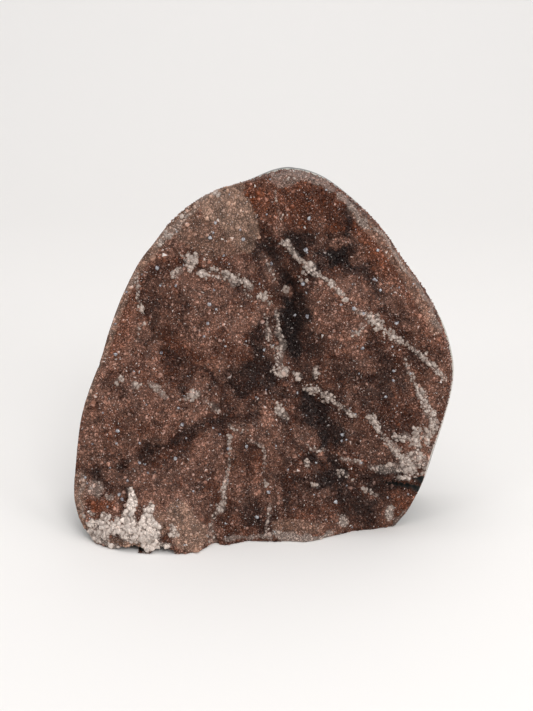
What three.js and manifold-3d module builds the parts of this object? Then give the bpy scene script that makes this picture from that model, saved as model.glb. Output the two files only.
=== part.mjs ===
// A druzy plate: one slab of volcanic rock whose front is a lumpy crust of small quartz crystals.
// It was sawn round its outline and across its foot, and it stands on the foot, leaning back.
// Millimetres, +Z up, the crystal face towards -Y. The origin is on the floor, in the middle of the foot.
import * as THREE from "three";
import { mergeVertices } from "three/addons/utils/BufferGeometryUtils.js";
import Module from "manifold-3d";

// Driving dimensions. u runs right along the face, v up the face, and w out of it towards the viewer.
const LEAN = 12; // degrees that the face leans back from upright
const FOOT_TO_FACE = 17; // from the origin forward to where the plane w = 0 meets the floor
const BACK_AT_FOOT = 34; // from that line back to the rough rear face, at floor level
const BACK_LEAN = 4.5; // degrees that the rear face leans back

const CRYSTAL_PITCH = 3.3; // between neighbouring crystals of the face
const PITCH_JITTER = 0.22; // how far a crystal stands out of line, as a share of the pitch
const TIP_HEIGHT = 1.1; // of an ordinary crystal above the crust
const VEIN_TIP_HEIGHT = 2.3; // of the larger pale crystals along the veins
const FIELD_TIP_HEIGHT = 1.7; // of the pale crystals that grow in fields
const TIP_VARIATION = 0.3; // how much a crystal's height varies, as a share of it
const TIP_LEAN = 0.15; // how far a tip stands off its centre, as a share of the pitch
const VEIN_REACH = 1.7; // a crystal this near to a vein belongs to it

const EDGE_ROLL = 1.3; // the face drops by this much where it meets the sawn edge
const EDGE_ROLL_WIDTH = 4.5;

// The sawn edge, clockwise from the top, in u and v.
const OUTLINE = [
  [8, 117], [17, 114.5], [27.5, 107], [36, 98.5], [43, 88.5], [50, 79], [55.5, 69], [58.5, 59.5],
  [59.2, 51.5], [56.7, 39], [53.7, 29], [50.5, 18.5], [48, 13], [45, 7.5], [40, 1], [35, -5],
  [0, -8], [-44, -8], [-52.5, -2], [-56.5, 2], [-59.2, 6], [-61, 12], [-61.4, 18.5], [-60, 30],
  [-58, 41], [-55.2, 50], [-52, 58.5], [-48.4, 70], [-44.4, 80], [-39.2, 90], [-34.8, 95.5], [-30, 101.5],
  [-24.5, 106.5], [-15.5, 112], [-10.5, 113.5], [-4, 115], [2, 116.5],
];
const EDGE_POINTS = 112;

// The saw cut isn't square to the face. Behind the crust it flares: to the right, most at the far right,
// and upwards, most at the top, but not on the upward-facing left side.
const EDGE_RINGS = [
  { w: 30, right: 0, up: 0 },
  { w: -1, right: 0, up: 0 },
  { w: -8, right: 2.2, up: 1.2 },
  { w: -18, right: 2, up: 2.5 },
  { w: -70, right: 2, up: 2.5 },
];
const LEFTMOST = -61;
const FACE_SPAN = 120; // across the face, and about as much up it
const FLARES_UP = { from: -14, full: 6 }; // the upward flare grows between these two values of u

// Rounded lumps of the crust, each an ellipse in u and v that rises this far above the plane w = 0.
const LUMPS = [
  { name: "foot lobe", u: -33, v: -2, across: 20, along: 24, turn: 0, rise: 8.8 },
  { name: "left band", u: -42, v: 42, across: 22, along: 13, turn: -10, rise: 4 },
  { name: "left breast", u: -17, v: 71, across: 19, along: 19, turn: 0, rise: 4.5 },
  { name: "left shoulder", u: -18, v: 102, across: 18, along: 12, turn: 20, rise: 2.5 },
  { name: "crown", u: 9, v: 108, across: 18, along: 13, turn: 0, rise: 3 },
  { name: "right shoulder", u: 46, v: 82, across: 12, along: 20, turn: 35, rise: 2 },
  { name: "right breast", u: 24, v: 77, across: 13, along: 12, turn: 0, rise: 4 },
  { name: "right belly", u: 31, v: 60, across: 10, along: 9, turn: 0, rise: 2 },
  { name: "right flank", u: 55, v: 60, across: 8, along: 14, turn: 0, rise: 1.5 },
  { name: "pale field", u: 46, v: 32, across: 11, along: 10, turn: 0, rise: 1.5 },
  { name: "middle ridge", u: 1, v: 38, across: 10, along: 14, turn: 0, rise: 2.5 },
  { name: "middle foot", u: 10, v: 6, across: 11, along: 10, turn: 0, rise: 1.2 },
  { name: "right foot hollow", u: 41, v: -2, across: 19, along: 20, turn: 0, rise: -8.2 },
];

// Creases between the lumps, each a path in u and v with its depth and half width.
const CREASES = [
  { depth: 2.6, width: 6, path: [[-62, 22], [-50, 24], [-33, 28], [-22, 36], [-14, 42]] },
  { depth: 3, width: 7, path: [[-32, 64], [-22, 56], [-8, 51], [3, 56]] },
  { depth: 1, width: 5, path: [[-37, 86], [-34, 66]] },
  { depth: 2.5, width: 7, path: [[0, 94], [4, 87], [8, 78]] },
  { depth: 4, width: 5.5, path: [[7, 82], [8.5, 70], [11, 60]] },
  { depth: 3, width: 5, path: [[14, 48], [20, 38], [22, 26]] },
  { depth: 3, width: 2.6, path: [[-12, 24], [-13, 12], [-17, -4]] },
  { depth: 2.6, width: 5.5, path: [[16, 95], [25, 90], [31, 88]] },
  { depth: 2.4, width: 6, path: [[30, 52], [42, 54]] },
];

// Veins of larger pale crystals that stand on the crust, as paths in u and v.
const VEINS = [
  [[-29, 95], [-23, 90], [-20, 87], [-12, 85], [-3, 79], [3, 76]],
  [[2, 78], [3, 68], [5, 60], [6, 54], [6, 42]],
  [[5, 97], [9, 91], [14, 89], [21, 83], [27, 78], [32, 73], [38, 69], [48, 62], [57, 52]],
  [[26, 65], [35, 72]],
  [[13, 51], [20, 48], [29, 42], [33, 40], [40, 32], [48, 23]],
  [[44, 60], [49, 50], [53, 42], [54, 35], [50, 31]],
  [[-4, 37], [-11, 36], [-12, 23], [-13, 14], [-17, 3]],
  [[-4, 33], [0, 28], [0, 19], [1, 7], [1, 2]],
  [[14, 31], [19, 28]],
  [[29, 20], [36, 15]],
  [[-47, 53], [-35, 50], [-30, 51], [-17, 44]],
  [[-41, 88], [-38.5, 74], [-39, 66]],
  [[24, 26], [38, 22.5], [43, 21]],
];

// Fields of pale crystals, as ellipses in u and v.
const FIELDS = [
  { u: -42, v: 4, across: 13, along: 6 },
  { u: -44, v: 11, across: 7, along: 6 },
  { u: 47, v: 31, across: 7, along: 9 },
];

// A strip where the crust is missing and the dark rock shows.
const BARE_ROCK = { path: [[38, 21], [44, 19], [53, 17]], reach: 2.4, depth: 2, roughness: 0.3 };

// Chips broken out of the crust: at the foot, and one out of the left edge.
const CHIPS = [
  { u: -40, v: -2, w: 8, radii: [2.8, 1.4, 3.5] },
  { u: -30.5, v: -2, w: 8.5, radii: [2.8, 2.6, 4] },
  { u: -53.7, v: 57, w: 0, radii: [2, 1.3, 3] },
];

// The rear face is broken rock: coarse facets, broad swells, and a ledge that climbs to the right.
const BACK_PITCH = 7.6;
const BACK_JITTER = 0.3; // of the pitch
const BACK_FACET = 1.5;
const BACK_SWELL = { depth: 1.8, across: 17, up: 21 };
const BACK_LEDGE = { depth: 3, height: 42, slope: 0.4 };

const MERGE_WITHIN = 0.03; // edges and steps smaller than this are evened out
const FIELD = { left: -70, right: 70, bottom: -16, top: 128 }; // the block of crystals before it is cut
const FACE_DEPTH = 75; // how far the block of crystals reaches behind the face before it is cut back
const ROOM = { width: 150, depth: 160, height: 140 }; // a box round the whole plate

const wasm = await Module();
wasm.setup();

// A repeatable random number from 0 to 1 for a place on a grid.
function chance(i, j, salt) {
  const mixed = Math.sin(i * 127.1 + j * 311.7 + salt * 74.7) * 43758.5453;
  return mixed - Math.floor(mixed);
}

function spread(i, j, salt) {
  return 2 * chance(i, j, salt) - 1;
}

// Face coordinates to the part's own frame.
const lean = THREE.MathUtils.degToRad(LEAN);
const ALONG_V = new THREE.Vector3(0, Math.sin(lean), Math.cos(lean));
const ALONG_W = new THREE.Vector3(0, -Math.cos(lean), Math.sin(lean));

function onFace(u, v, w) {
  const place = new THREE.Vector3(u, -FOOT_TO_FACE, 0);
  return place.addScaledVector(ALONG_V, v).addScaledVector(ALONG_W, w);
}

function smoothstep(x) {
  const t = THREE.MathUtils.clamp(x, 0, 1);
  return t * t * (3 - 2 * t);
}

function distanceToPath(u, v, path) {
  let nearest = Infinity;
  for (let i = 0; i + 1 < path.length; i += 1) {
    const [au, av] = path[i];
    const [bu, bv] = path[i + 1];
    const along = ((u - au) * (bu - au) + (v - av) * (bv - av)) / ((bu - au) ** 2 + (bv - av) ** 2);
    const t = THREE.MathUtils.clamp(along, 0, 1);
    nearest = Math.min(nearest, Math.hypot(u - au - t * (bu - au), v - av - t * (bv - av)));
  }
  return nearest;
}

// The sawn outline as a smooth closed curve.
function sawnOutline() {
  const points = OUTLINE.map(([u, v]) => new THREE.Vector3(u, v, 0));
  const curve = new THREE.CatmullRomCurve3(points, true, "centripetal");
  return curve.getSpacedPoints(EDGE_POINTS).slice(0, EDGE_POINTS);
}

const outline = sawnOutline();
const outlinePath = [...outline, outline[0]].map((p) => [p.x, p.y]);

// Height of one lump at a point of the face: a broad top with sides that ease out.
function lumpHeight(lump, u, v) {
  const turn = THREE.MathUtils.degToRad(lump.turn);
  const du = u - lump.u;
  const dv = v - lump.v;
  const across = (du * Math.cos(turn) + dv * Math.sin(turn)) / lump.across;
  const along = (dv * Math.cos(turn) - du * Math.sin(turn)) / lump.along;
  return lump.rise * Math.exp(-(Math.hypot(across, along) ** 3));
}

// Height of the crust: the lumps, less the creases, rolled back at the sawn edge.
function crustHeight(u, v) {
  let height = 0;
  for (const lump of LUMPS) {
    height += lumpHeight(lump, u, v);
  }
  for (const crease of CREASES) {
    height -= crease.depth * Math.exp(-((distanceToPath(u, v, crease.path) / crease.width) ** 2));
  }
  if (distanceToPath(u, v, BARE_ROCK.path) < BARE_ROCK.reach) {
    height -= BARE_ROCK.depth;
  }
  const fromEdge = distanceToPath(u, v, outlinePath) / EDGE_ROLL_WIDTH;
  return height - EDGE_ROLL * (1 - smoothstep(fromEdge));
}

// How far a crystal's tip stands above the crust at a point of the face.
function tipHeight(u, v) {
  if (distanceToPath(u, v, BARE_ROCK.path) < BARE_ROCK.reach) {
    return BARE_ROCK.roughness;
  }
  if (VEINS.some((path) => distanceToPath(u, v, path) < VEIN_REACH)) {
    return VEIN_TIP_HEIGHT;
  }
  if (FIELDS.some((f) => Math.hypot((u - f.u) / f.across, (v - f.v) / f.along) < 1)) {
    return FIELD_TIP_HEIGHT;
  }
  return TIP_HEIGHT;
}

// Centre of the crystal at row r and place q of a three-way lattice, shaken out of line.
function crystalCentre(q, r) {
  const shake = PITCH_JITTER * CRYSTAL_PITCH;
  const u = (q + r / 2) * CRYSTAL_PITCH + shake * spread(q, r, 1);
  const v = r * CRYSTAL_PITCH * Math.sin(Math.PI / 3) + shake * spread(q, r, 2);
  return [u, v];
}

// Steps from one crystal to the six around it, counter-clockwise.
const AROUND = [[1, 0], [0, 1], [-1, 1], [-1, 0], [0, -1], [1, -1]];

// The corner where a crystal meets its neighbours on two sides that follow each other.
function sharedCorner(q, r, side) {
  const [aq, ar] = AROUND[side % 6];
  const [bq, br] = AROUND[(side + 1) % 6];
  const three = [[q, r], [q + aq, r + ar], [q + bq, r + br]];
  three.sort((a, b) => a[0] - b[0] || a[1] - b[1]);
  const [a, b, c] = three.map(([i, j]) => crystalCentre(i, j));
  const u = (a[0] + b[0] + c[0]) / 3;
  const v = (a[1] + b[1] + c[1]) / 3;
  return [u, v, crustHeight(u, v)];
}

function crystalTip(q, r) {
  const [u, v] = crystalCentre(q, r);
  const height = tipHeight(u, v) * (1 + TIP_VARIATION * spread(q, r, 3));
  const lean = TIP_LEAN * CRYSTAL_PITCH;
  return [u + lean * spread(q, r, 4), v + lean * spread(q, r, 5), crustHeight(u, v) + height];
}

function growsAt(q, r) {
  const [u, v] = crystalCentre(q, r);
  return u > FIELD.left && u < FIELD.right && v > FIELD.bottom && v < FIELD.top;
}

// The crust as one block: a six-sided pyramid for each crystal, side by side, on a deep plain back.
function crystalBlock() {
  const flat = [];
  const face = (...places) => {
    for (const place of places) {
      flat.push(...onFace(...place).toArray());
    }
  };
  const deep = ([u, v]) => [u, v, -FACE_DEPTH];
  const reach = Math.ceil((1.5 * FIELD.top) / CRYSTAL_PITCH);
  for (let r = -reach; r < reach; r += 1) {
    for (let q = -reach; q < reach; q += 1) {
      if (!growsAt(q, r)) {
        continue;
      }
      const tip = crystalTip(q, r);
      const root = deep(crystalCentre(q, r));
      for (let side = 0; side < 6; side += 1) {
        const a = sharedCorner(q, r, side);
        const b = sharedCorner(q, r, side + 1);
        face(tip, a, b);
        face(root, deep(b), deep(a));
        const [stepQ, stepR] = AROUND[(side + 1) % 6];
        if (!growsAt(q + stepQ, r + stepR)) {
          face(b, a, deep(a));
          face(b, deep(a), deep(b));
        }
      }
    }
  }
  return solidFromTriangles(flat);
}

function solidFromTriangles(flat) {
  const geometry = new THREE.BufferGeometry();
  geometry.setAttribute("position", new THREE.Float32BufferAttribute(flat, 3));
  return solidFromGeometry(geometry);
}

function solidFromGeometry(geometry) {
  geometry.deleteAttribute("normal");
  geometry.deleteAttribute("uv");
  const merged = mergeVertices(geometry, 1e-4);
  const vertProperties = new Float32Array(merged.attributes.position.array);
  const triVerts = new Uint32Array(merged.index.array);
  return new wasm.Manifold(new wasm.Mesh({ numProp: 3, vertProperties, triVerts }));
}

// The sawn edge: the outline carried from front to back along its rings.
function sawnPrism() {
  const rings = EDGE_RINGS.map((ring) =>
    outline.map((p) => {
      const u = p.x + (ring.right * (p.x - LEFTMOST)) / FACE_SPAN;
      const upward = smoothstep((p.x - FLARES_UP.from) / (FLARES_UP.full - FLARES_UP.from));
      const v = p.y + (upward * ring.up * p.y) / FACE_SPAN;
      return onFace(u, v, ring.w).toArray();
    }),
  );
  const flat = [];
  const hub = (ring) => onFace(0, FACE_SPAN / 2, ring.w).toArray();
  const front = hub(EDGE_RINGS[0]);
  const rear = hub(EDGE_RINGS.at(-1));
  const last = rings.at(-1);
  for (let i = 0; i < EDGE_POINTS; i += 1) {
    const j = (i + 1) % EDGE_POINTS;
    flat.push(...front, ...rings[0][j], ...rings[0][i]);
    flat.push(...rear, ...last[i], ...last[j]);
    for (let k = 0; k + 1 < rings.length; k += 1) {
      flat.push(...rings[k][i], ...rings[k][j], ...rings[k + 1][j]);
      flat.push(...rings[k][i], ...rings[k + 1][j], ...rings[k + 1][i]);
    }
  }
  return solidFromTriangles(flat);
}

// A corner of the broken rear face, at column i and row j of its facets.
function rearCorner(i, j) {
  const x = -ROOM.width / 2 + (i + BACK_JITTER * spread(i, j, 11)) * BACK_PITCH;
  const z = (j - 0.5 + BACK_JITTER * spread(i, j, 12)) * BACK_PITCH;
  const plain = BACK_AT_FOOT - FOOT_TO_FACE + Math.tan(THREE.MathUtils.degToRad(BACK_LEAN)) * z;
  const ledge = z < BACK_LEDGE.height + BACK_LEDGE.slope * x ? BACK_LEDGE.depth : 0;
  const swell = BACK_SWELL.depth * Math.sin(x / BACK_SWELL.across + 1) * Math.cos(z / BACK_SWELL.up);
  return [x, plain + ledge + swell + BACK_FACET * spread(i, j, 13), z];
}

// Everything in front of the broken rear face.
function rockBlock() {
  const columns = Math.ceil(ROOM.width / BACK_PITCH);
  const rows = Math.ceil(ROOM.height / BACK_PITCH);
  const ahead = ([x, , z]) => [x, -ROOM.depth / 2, z];
  const flat = [];
  const quad = (a, b, c, d) => flat.push(...a, ...b, ...c, ...a, ...c, ...d);
  const side = (a, b) => quad(a, b, ahead(b), ahead(a));
  for (let i = 0; i < columns; i += 1) {
    for (let j = 0; j < rows; j += 1) {
      const around = [rearCorner(i, j), rearCorner(i, j + 1), rearCorner(i + 1, j + 1), rearCorner(i + 1, j)];
      if ((i + j) % 2) {
        around.push(around.shift());
      }
      quad(...around);
      const [a, b, c, d] = around.map(ahead);
      quad(a, d, c, b);
    }
  }
  for (let i = 0; i < columns; i += 1) {
    side(rearCorner(i, 0), rearCorner(i + 1, 0));
    side(rearCorner(i + 1, rows), rearCorner(i, rows));
  }
  for (let j = 0; j < rows; j += 1) {
    side(rearCorner(0, j + 1), rearCorner(0, j));
    side(rearCorner(columns, j), rearCorner(columns, j + 1));
  }
  return solidFromTriangles(flat);
}

// The foot is sawn level: only what stands above the floor is kept.
function aboveFloor() {
  const block = new THREE.BoxGeometry(ROOM.width, ROOM.depth, ROOM.height);
  block.translate(0, 0, ROOM.height / 2);
  return solidFromGeometry(block);
}

// A chip is a rough lump taken out of the crust.
function chip({ u, v, w, radii }, index) {
  const lump = new THREE.IcosahedronGeometry(1, 1);
  const frame = new THREE.Matrix4().makeBasis(new THREE.Vector3(1, 0, 0), ALONG_V, ALONG_W);
  lump.rotateZ(index + 1);
  lump.scale(...radii);
  lump.applyMatrix4(frame);
  lump.translate(...onFace(u, v, w).toArray());
  return solidFromGeometry(lump);
}

function druzyPlate() {
  let solid = crystalBlock().intersect(sawnPrism()).intersect(rockBlock()).intersect(aboveFloor());
  CHIPS.forEach((place, index) => {
    solid = solid.subtract(chip(place, index));
  });
  const mesh = solid.simplify(MERGE_WITHIN).getMesh();
  const geometry = new THREE.BufferGeometry();
  geometry.setAttribute("position", new THREE.BufferAttribute(mesh.vertProperties, 3));
  geometry.setIndex(new THREE.BufferAttribute(mesh.triVerts, 1));
  geometry.computeVertexNormals();
  const crystal = new THREE.MeshStandardMaterial({ color: 0x75504a, roughness: 0.35, metalness: 0 });
  crystal.flatShading = true;
  const plate = new THREE.Mesh(geometry, crystal);
  plate.name = "druzy_plate";
  return plate;
}

const specimen = new THREE.Group();
specimen.add(druzyPlate());

export default specimen;
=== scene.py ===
import math

import bpy
import numpy as np
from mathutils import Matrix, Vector
from mathutils.bvhtree import BVHTree


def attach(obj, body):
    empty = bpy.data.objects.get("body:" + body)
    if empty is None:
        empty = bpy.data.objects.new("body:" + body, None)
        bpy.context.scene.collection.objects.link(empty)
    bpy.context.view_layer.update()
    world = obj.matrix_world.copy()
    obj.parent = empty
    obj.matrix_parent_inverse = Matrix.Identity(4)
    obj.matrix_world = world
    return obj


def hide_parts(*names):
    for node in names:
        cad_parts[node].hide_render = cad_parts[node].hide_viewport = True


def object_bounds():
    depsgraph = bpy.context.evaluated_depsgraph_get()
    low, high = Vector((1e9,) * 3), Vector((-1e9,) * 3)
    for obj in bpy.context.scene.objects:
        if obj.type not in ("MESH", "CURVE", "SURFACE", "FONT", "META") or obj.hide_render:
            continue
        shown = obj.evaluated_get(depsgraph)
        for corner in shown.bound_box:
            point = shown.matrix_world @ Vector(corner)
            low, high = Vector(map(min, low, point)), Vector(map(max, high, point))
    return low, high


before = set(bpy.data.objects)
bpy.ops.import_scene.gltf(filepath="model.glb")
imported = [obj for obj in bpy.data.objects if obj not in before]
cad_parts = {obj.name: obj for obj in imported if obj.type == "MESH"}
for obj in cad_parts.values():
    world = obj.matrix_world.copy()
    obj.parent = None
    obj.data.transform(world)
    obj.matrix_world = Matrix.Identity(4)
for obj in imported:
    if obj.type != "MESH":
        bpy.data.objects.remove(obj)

solid_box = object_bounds()

# The slab: basalt that lined a gas pocket in old lava, with the quartz that grew on its inner wall.
# It was sawn round its outline and across its foot. The back is left as it broke from the lava.
# Places on the face are in mm: u runs right, v up the leaning face and w out of it to the viewer.
MM = 0.001
LEAN = math.radians(12)
FOOT_TO_FACE = 17

# The sawn outline at the front, as places on the face.
OUTLINE = [
    (8, 117), (17, 114.5), (27.5, 107), (36, 98.5), (43, 88.5), (50, 79), (55.5, 69), (58.5, 59.5),
    (59.2, 51.5), (56.7, 39), (53.7, 29), (50.5, 18.5), (48, 13), (45, 7.5), (40, 1), (35, -5),
    (0, -8), (-44, -8), (-52.5, -2), (-56.5, 2), (-59.2, 6), (-61, 12), (-61.4, 18.5), (-60, 30),
    (-58, 41), (-55.2, 50), (-52, 58.5), (-48.4, 70), (-44.4, 80), (-39.2, 90), (-34.8, 95.5), (-30, 101.5),
    (-24.5, 106.5), (-15.5, 112), (-10.5, 113.5), (-4, 115), (2, 116.5),
]
# Behind the front the slab is about 2 mm larger. These are how much at each depth w, at its far right and
# at its top, where the upward part fades in from left to right between two places.
FLARE_W = (-70, -18, -8, -1)
FLARE_RIGHT = (2, 2, 2.2, 0)
FLARE_UP = (2.5, 2.5, 1.2, 0)
FLARES_UP_FROM = -14
FLARES_UP_FULL = 6
LEFTMOST = -61
FACE_SPAN = 120
SPOKES = 420
# The crust rolls off toward the outline.
EDGE_ROLL = 1.3
EDGE_ROLL_WIDTH = 4.5

# Lumps of the crust: u, v, half widths across and along, turn in degrees, and rise.
LUMPS = [
    (-33, -2, 20, 24, 0, 8.8), (-42, 42, 22, 13, -10, 4), (-17, 71, 19, 19, 0, 4.5),
    (-18, 102, 18, 12, 20, 2.5), (9, 108, 18, 13, 0, 3), (46, 82, 12, 20, 35, 2),
    (24, 77, 13, 12, 0, 4), (31, 60, 10, 9, 0, 2), (55, 60, 8, 14, 0, 1.5),
    (46, 32, 11, 10, 0, 1.5), (1, 38, 10, 14, 0, 2.5), (10, 6, 11, 10, 0, 1.2), (41, -2, 19, 20, 0, -8.2),
]
# Creases and cracks between them: depth, half width, and path.
CREASES = [
    (2.6, 6, [(-62, 22), (-50, 24), (-33, 28), (-22, 36), (-14, 42)]),
    (3, 7, [(-32, 64), (-22, 56), (-8, 51), (3, 56)]),
    (1, 5, [(-37, 86), (-34, 66)]),
    (2.5, 7, [(0, 94), (4, 87), (8, 78)]),
    (4, 5.5, [(7, 82), (8.5, 70), (11, 60)]),
    (3, 5, [(14, 48), (20, 38), (22, 26)]),
    (3, 2.6, [(-12, 24), (-13, 12), (-17, -4)]),
    (2.6, 5.5, [(16, 95), (25, 90), (31, 88)]),
    (2.4, 6, [(30, 52), (42, 54)]),
    (1.2, 0.5, [(-29, 95), (-26, 90.5), (-20, 88), (-13, 86), (-8, 82.5)]),
    (1.6, 1.1, [(23, 23), (31, 21.5), (37, 20.5)]),
    (1.2, 1.2, [(-6.5, 112), (-4.5, 105), (-1.5, 98)]),
]
# Where the crust is missing and the dark rock shows: how deep, and a stroke with its half width at each
# point. There are two strips at the right, a ragged gap and a small hole along the lobe's foot, and a
# chip in the left edge.
BARE = [
    (2, [(39.3, 18.6, 0.4), (43, 18, 0.8), (47, 17, 1.1), (51, 15.6, 1.4)]),
    (2, [(47.5, 20.4, 0.5), (50, 19.6, 1.5), (53, 19, 2)]),
    (4, [(-47, -0.9, 0.4), (-44, -0.5, 0.7), (-41.5, -0.2, 1), (-39, -0.4, 0.9), (-37, -1.1, 0.5)]),
    (6, [(-35, -1.4, 0.6), (-32.8, -0.7, 1.4), (-30.8, -0.9, 1.3), (-28.8, -1.4, 0.6)]),
    (2, [(-56, 57, 1.2), (-53, 57.2, 1.1)]),
]
# Veins of pale crystals: how pale, and the path with its half width at each point.
VEINS = [
    (0.5, [(-26.5, 94, 0.6), (-24.5, 91, 0.6)]),
    (0.8, [(-22.3, 91, 2), (-23, 88, 1.1)]),
    (0.55, [(-26, 87.7, 0.9), (-27.8, 86.2, 1)]),
    (0.85, [(-20.5, 87, 0.8), (-18.7, 86.5, 1.2), (-16, 85.8, 0.8), (-13, 85, 0.7)]),
    (0.85, [(-16, 88, 0.9), (-12.5, 86.4, 1.1), (-9.5, 84.6, 1.4), (-5.5, 83.6, 1.1), (-4, 82, 0.8)]),
    (0.5, [(-6.5, 81.5, 0.4), (-4.5, 79.3, 0.4)]),
    (0.85, [(-1.5, 79, 0.8), (0.4, 79.2, 1.4), (2, 77, 0.7)]),
    (0.4, [(0.6, 90, 0.6), (2.3, 87, 0.7), (4.3, 83, 0.6)]),
    (0.6, [(3.8, 75, 0.5), (4.5, 69.5, 0.7), (5.2, 66, 1), (5.6, 62.7, 1.2), (4.8, 60, 1.5), (4.6, 57, 1)]),
    (0.55, [(0.4, 73, 0.5), (1, 69.5, 0.8), (1.9, 65, 1), (3.7, 61.4, 1.1)]),
    (0.8, [(3, 55, 1), (5.5, 54.7, 1.9), (7.8, 55.4, 0.8)]),
    (0.6, [(9.5, 54.5, 0.5), (10.8, 53, 1.1)]),
    (0.5, [(16.5, 56, 0.8), (16.5, 53.5, 1)]),
    (0.85, [(13, 49.4, 0.9), (15.5, 49, 1.4), (17.5, 49.5, 0.9)]),
    (0.85, [(18.3, 47.8, 0.7), (20.2, 46.5, 1.6), (22, 45.4, 0.7), (25, 43.3, 0.4)]),
    (0.9, [(26, 42.5, 0.5), (28, 41.4, 0.8), (29.3, 41, 0.6)]),
    (0.9, [(32.5, 41.2, 0.7), (34.2, 40, 1.3), (36.5, 36.3, 0.7)]),
    (0.85, [(36.5, 36.3, 0.6), (39, 33.2, 0.8), (42, 30, 1.3),
            (45, 27, 1.5), (47.5, 23.8, 2.2), (49.5, 21.8, 1.6)]),
    (0.8, [(41, 34.3, 0.8), (46, 34, 1.8), (48.5, 33.6, 2), (48.6, 30.5, 1)]),
    (0.7, [(48.8, 36.2, 0.9), (48.2, 33, 1)]),
    (0.8, [(44.5, 59, 0.5), (46.3, 54.5, 0.8), (47.6, 51.5, 0.8), (49.6, 48.6, 1.4), (51, 44.5, 1.2)]),
    (0.8, [(51, 44.5, 1.2), (52.5, 42.3, 1.2), (54.3, 41.6, 1)]),
    (0.7, [(53.8, 41, 1.4), (53.6, 38, 1.8), (52, 35, 1.4), (51.8, 32.5, 1)]),
    (0.35, [(3.3, 112, 0.8), (3.5, 109, 0.7), (5.5, 103, 0.6)]),
    (0.9, [(4.7, 96, 0.6), (7, 95.8, 1.1), (9, 92.8, 0.9),
           (11.5, 90.3, 0.8), (14.2, 88.5, 1.6), (15.2, 86.8, 0.8)]),
    (0.85, [(15.2, 86.8, 0.7), (18.5, 85.3, 0.9), (21, 83.3, 1), (22.8, 81.3, 0.8), (25.5, 78.6, 0.9)]),
    (0.6, [(28, 75.7, 0.7), (31, 74, 0.7), (33, 73.3, 0.8)]),
    (0.9, [(33, 73, 0.8), (35.5, 70.8, 2), (37.5, 68.7, 1), (40, 67, 1.2), (43.3, 65, 0.9)]),
    (0.75, [(43.3, 65, 0.8), (47, 62.5, 0.6), (50, 60, 1), (53, 57.4, 1), (56, 54, 0.6), (57.4, 52.5, 0.6)]),
    (0.5, [(27, 68, 0.9), (29.5, 67.8, 0.8), (31, 70.5, 0.6)]),
    (0.6, [(3.7, 45.5, 0.8), (4.8, 43, 1.6), (7, 41, 0.9)]),
    (0.6, [(13.6, 31.8, 0.4), (15.2, 30, 0.6), (19, 29.2, 0.5)]),
    (0.5, [(13.5, 26, 1.1), (14.4, 24, 0.6)]),
    (0.5, [(-4.5, 34, 0.6), (-1, 32, 0.5), (0, 29.5, 0.5), (0, 23, 0.5)]),
    (0.55, [(0.2, 20.5, 0.7), (0.5, 18.3, 1)]),
    (0.5, [(1.6, 11.5, 0.6), (1.4, 8, 0.5), (0.7, 3, 0.5)]),
    (0.55, [(23.7, 21.3, 0.8), (25, 22, 1.1), (27, 21, 0.6)]),
    (0.5, [(27.5, 20, 0.4), (30, 19.6, 0.5)]),
    (0.55, [(16, 18.8, 1.2), (17, 18.3, 0.8)]),
    (0.7, [(32, 16.2, 0.8), (34, 15.5, 0.8), (36.5, 14, 0.6)]),
    (0.5, [(25, 26.5, 0.9), (28, 26.3, 0.9), (31.3, 25.6, 0.7)]),
    (0.45, [(34, 24.3, 0.8), (36, 22.8, 0.9)]),
    (0.5, [(-46.4, 52, 0.9), (-44.9, 53.2, 0.8)]),
    (0.6, [(-40.6, 51.3, 1), (-39.2, 51.2, 1)]),
    (0.6, [(-36.5, 51.6, 0.7), (-34, 50.4, 0.9), (-32.6, 48.6, 0.6), (-31, 47.6, 0.7)]),
    (0.6, [(-25.5, 46.8, 0.7), (-22.5, 48.2, 1.5), (-20.5, 48, 1)]),
    (0.35, [(-19, 46, 0.8), (-15, 42.5, 1), (-13.5, 41, 0.7)]),
    (0.6, [(-11.2, 37.6, 0.6), (-9, 36, 0.7), (-7.5, 36, 0.7), (-5.4, 37, 0.5)]),
    (0.6, [(-11, 34.5, 0.9), (-10.8, 30, 0.4), (-10.8, 26, 0.6), (-11.6, 22, 0.6)]),
    (0.75, [(-11.6, 22, 0.6), (-12.4, 19, 0.7), (-13, 16.8, 1),
            (-12.8, 13.5, 0.7), (-14, 11, 1.5), (-16.2, 8.4, 0.5)]),
    (0.5, [(-17.3, 6, 0.8), (-17.3, 3, 1.2), (-16.5, 0.5, 1.2)]),
    (0.6, [(-39.9, 87, 0.4), (-39.5, 82, 0.7), (-39.8, 79.3, 0.4), (-38.7, 76, 0.8), (-38.5, 74.3, 0.9)]),
    (0.3, [(-39.4, 70, 0.5), (-40, 64.5, 0.5)]),
]


def on_face(u, v, w):
    """A place on the leaning face, in the part's frame in metres."""
    y = v * math.sin(LEAN) - w * math.cos(LEAN) - FOOT_TO_FACE
    z = v * math.cos(LEAN) + w * math.sin(LEAN)
    return MM * np.stack(np.broadcast_arrays(u, y, z), -1)


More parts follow.
